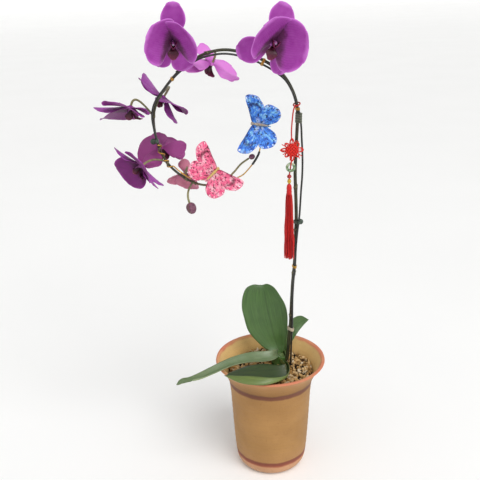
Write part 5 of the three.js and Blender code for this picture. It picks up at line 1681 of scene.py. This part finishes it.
def makeBeads():
    bead = tassel["redBead"]
    profile = [
        (bead["radius"] * math.sin(a) * (1 + 0.04 * math.sin(9 * a)),
         bead["height"] - bead["halfHeight"] * math.cos(a))
        for a in np.linspace(0.3, math.pi - 0.3, 22)
    ]
    red = turnedShape(profile, 30)
    waist = tassel["giltBead"][5][1]  # the height of its twelve ribs
    gilt = turnedShape(
        tassel["giltBead"], 36, lambda a, z: 1 + 0.05 * np.cos(12 * a) * math.exp(-((z - waist) / 1.0) ** 2),
    )
    return [
        makePiece(f"tasselBead{label}", [shifted(shape, tassel["beadPlace"])], [skin], [node])
        for label, shape, skin, slot, node in (
            ("Red", red, makeBeadSkin("red lacquer bead", "#8f141b", "#c3272b", 0.0, 0.18), "red_bead",
             "tassel_bead_red"),
            ("Gold", gilt, makeBeadSkin("gilt bead", "#b98a2c", "#ecc860", 1.0, 0.25), "gold_bead",
             "tassel_bead_gold"),
        )
    ]


def makeHead(floss):
    shapes = [turnedShape(tassel["head"], 40)]
    wide, deep = tassel["bindingReach"]
    for height in tassel["bindings"]:
        turn = np.array([(wide * math.cos(a), deep * math.sin(a), height) for a in aroundCircle(60)])
        shapes.append(tubeShape(turn, tassel["bindingRadius"], 8, loop=True))
    shapes = [painted(shifted(shape, tassel["skirtTop"]), 0, tone=0.6) for shape in shapes]
    return makePiece("tasselHead", shapes, [floss])


def makeSkirt(floss):
    # the threads hang from a disc inside the head, drop below its top
    neck, drop = tassel["neck"], tassel["drop"]
    points, faces = discGrid([neck * share for share in (0.05, 0.5, 1)], 20)
    skirt = grow("tasselSkirt", threadTree(), points * mm, faces, {
        "Density": tassel["threads"] / (math.pi * (neck * mm) ** 2),
        "Length": (tassel["skirtLength"] - drop) * mm, "Thread radius": tassel["threadRadius"] * mm,
        "Flare": [f * mm for f in tassel["flare"]], "Seed": tassel["seed"], "Finish": floss,
    })
    x, y, z = tassel["skirtTop"]
    skirt.data.transform(Matrix.Translation(Vector((x, y, z - drop)) * mm))
    return dress(skirt, ["tassel_skirt"])


def makeTassel():
    floss = makeThreadSkin()
    carried = ([makeKnot()], [makeRing(), *makeBeads(), makeHead(floss), makeSkirt(floss)])


makeTassel()
print("tassel made")

# Studio, in metres: a white floor that rises to a rim far away, and soft light

studio = {
    "rise": [(0.01, 0), (14, 0), (18, 0.2), (21, 1.2), (23, 3.5), (24, 8)], "sides": 96, "sky": 0.52,
    "lamps": [
        {"name": "sun", "kind": "SUN", "power": 1.6, "turn": (34, 22, 0),
         "size": ("angle", math.radians(40))},
        {"name": "key", "kind": "AREA", "power": 4.0, "at": (-1.1, -1.2, 1.7), "size": ("size", 1.4)},
        {"name": "fill", "kind": "AREA", "power": 4.0, "at": (1.3, -1.0, 0.9), "size": ("size", 1.2)},
    ],
    "aim": (-0.03, 0, 0.3),
}


def makeStudio(rise, sides, sky, lamps, aim):
    # Matt white paper: it has only a faint cloud, and no relief to catch the light.
    paper = makeClouded("studio floor", 400, [(0.3, "#fafaf9"), (0.7, "#fcfcfb")], 0, {
        "Roughness": 0.9, "Specular IOR Level": 0.1,
    })
    shape = turnedShape(rise, sides)
    faces = shape["faces"][: sides * len(rise)]  # all but the fan that would close its top
    addObject("floor", newMesh("floor", shape["points"], faces, [paper]))
    world = bpy.data.worlds.new("studio")
    world.use_nodes = True
    background = world.node_tree.nodes["Background"]
    background.inputs["Color"].default_value = linear("#ffffff")
    background.inputs["Strength"].default_value = sky
    bpy.context.scene.world = world
    for row in lamps:
        data = bpy.data.lights.new(row["name"], row["kind"])
        data.energy = row["power"]
        setattr(data, *row["size"])
        lamp = addObject(row["name"], data)
        if "turn" in row:
            lamp.rotation_euler = [math.radians(a) for a in row["turn"]]
        else:
            lamp.location = row["at"]
            lamp.rotation_euler = (Vector(aim) - Vector(row["at"])).to_track_quat("-Z", "Y").to_euler()
    bpy.context.scene.view_settings.view_transform = "Standard"


makeStudio(**studio)
print("studio made")
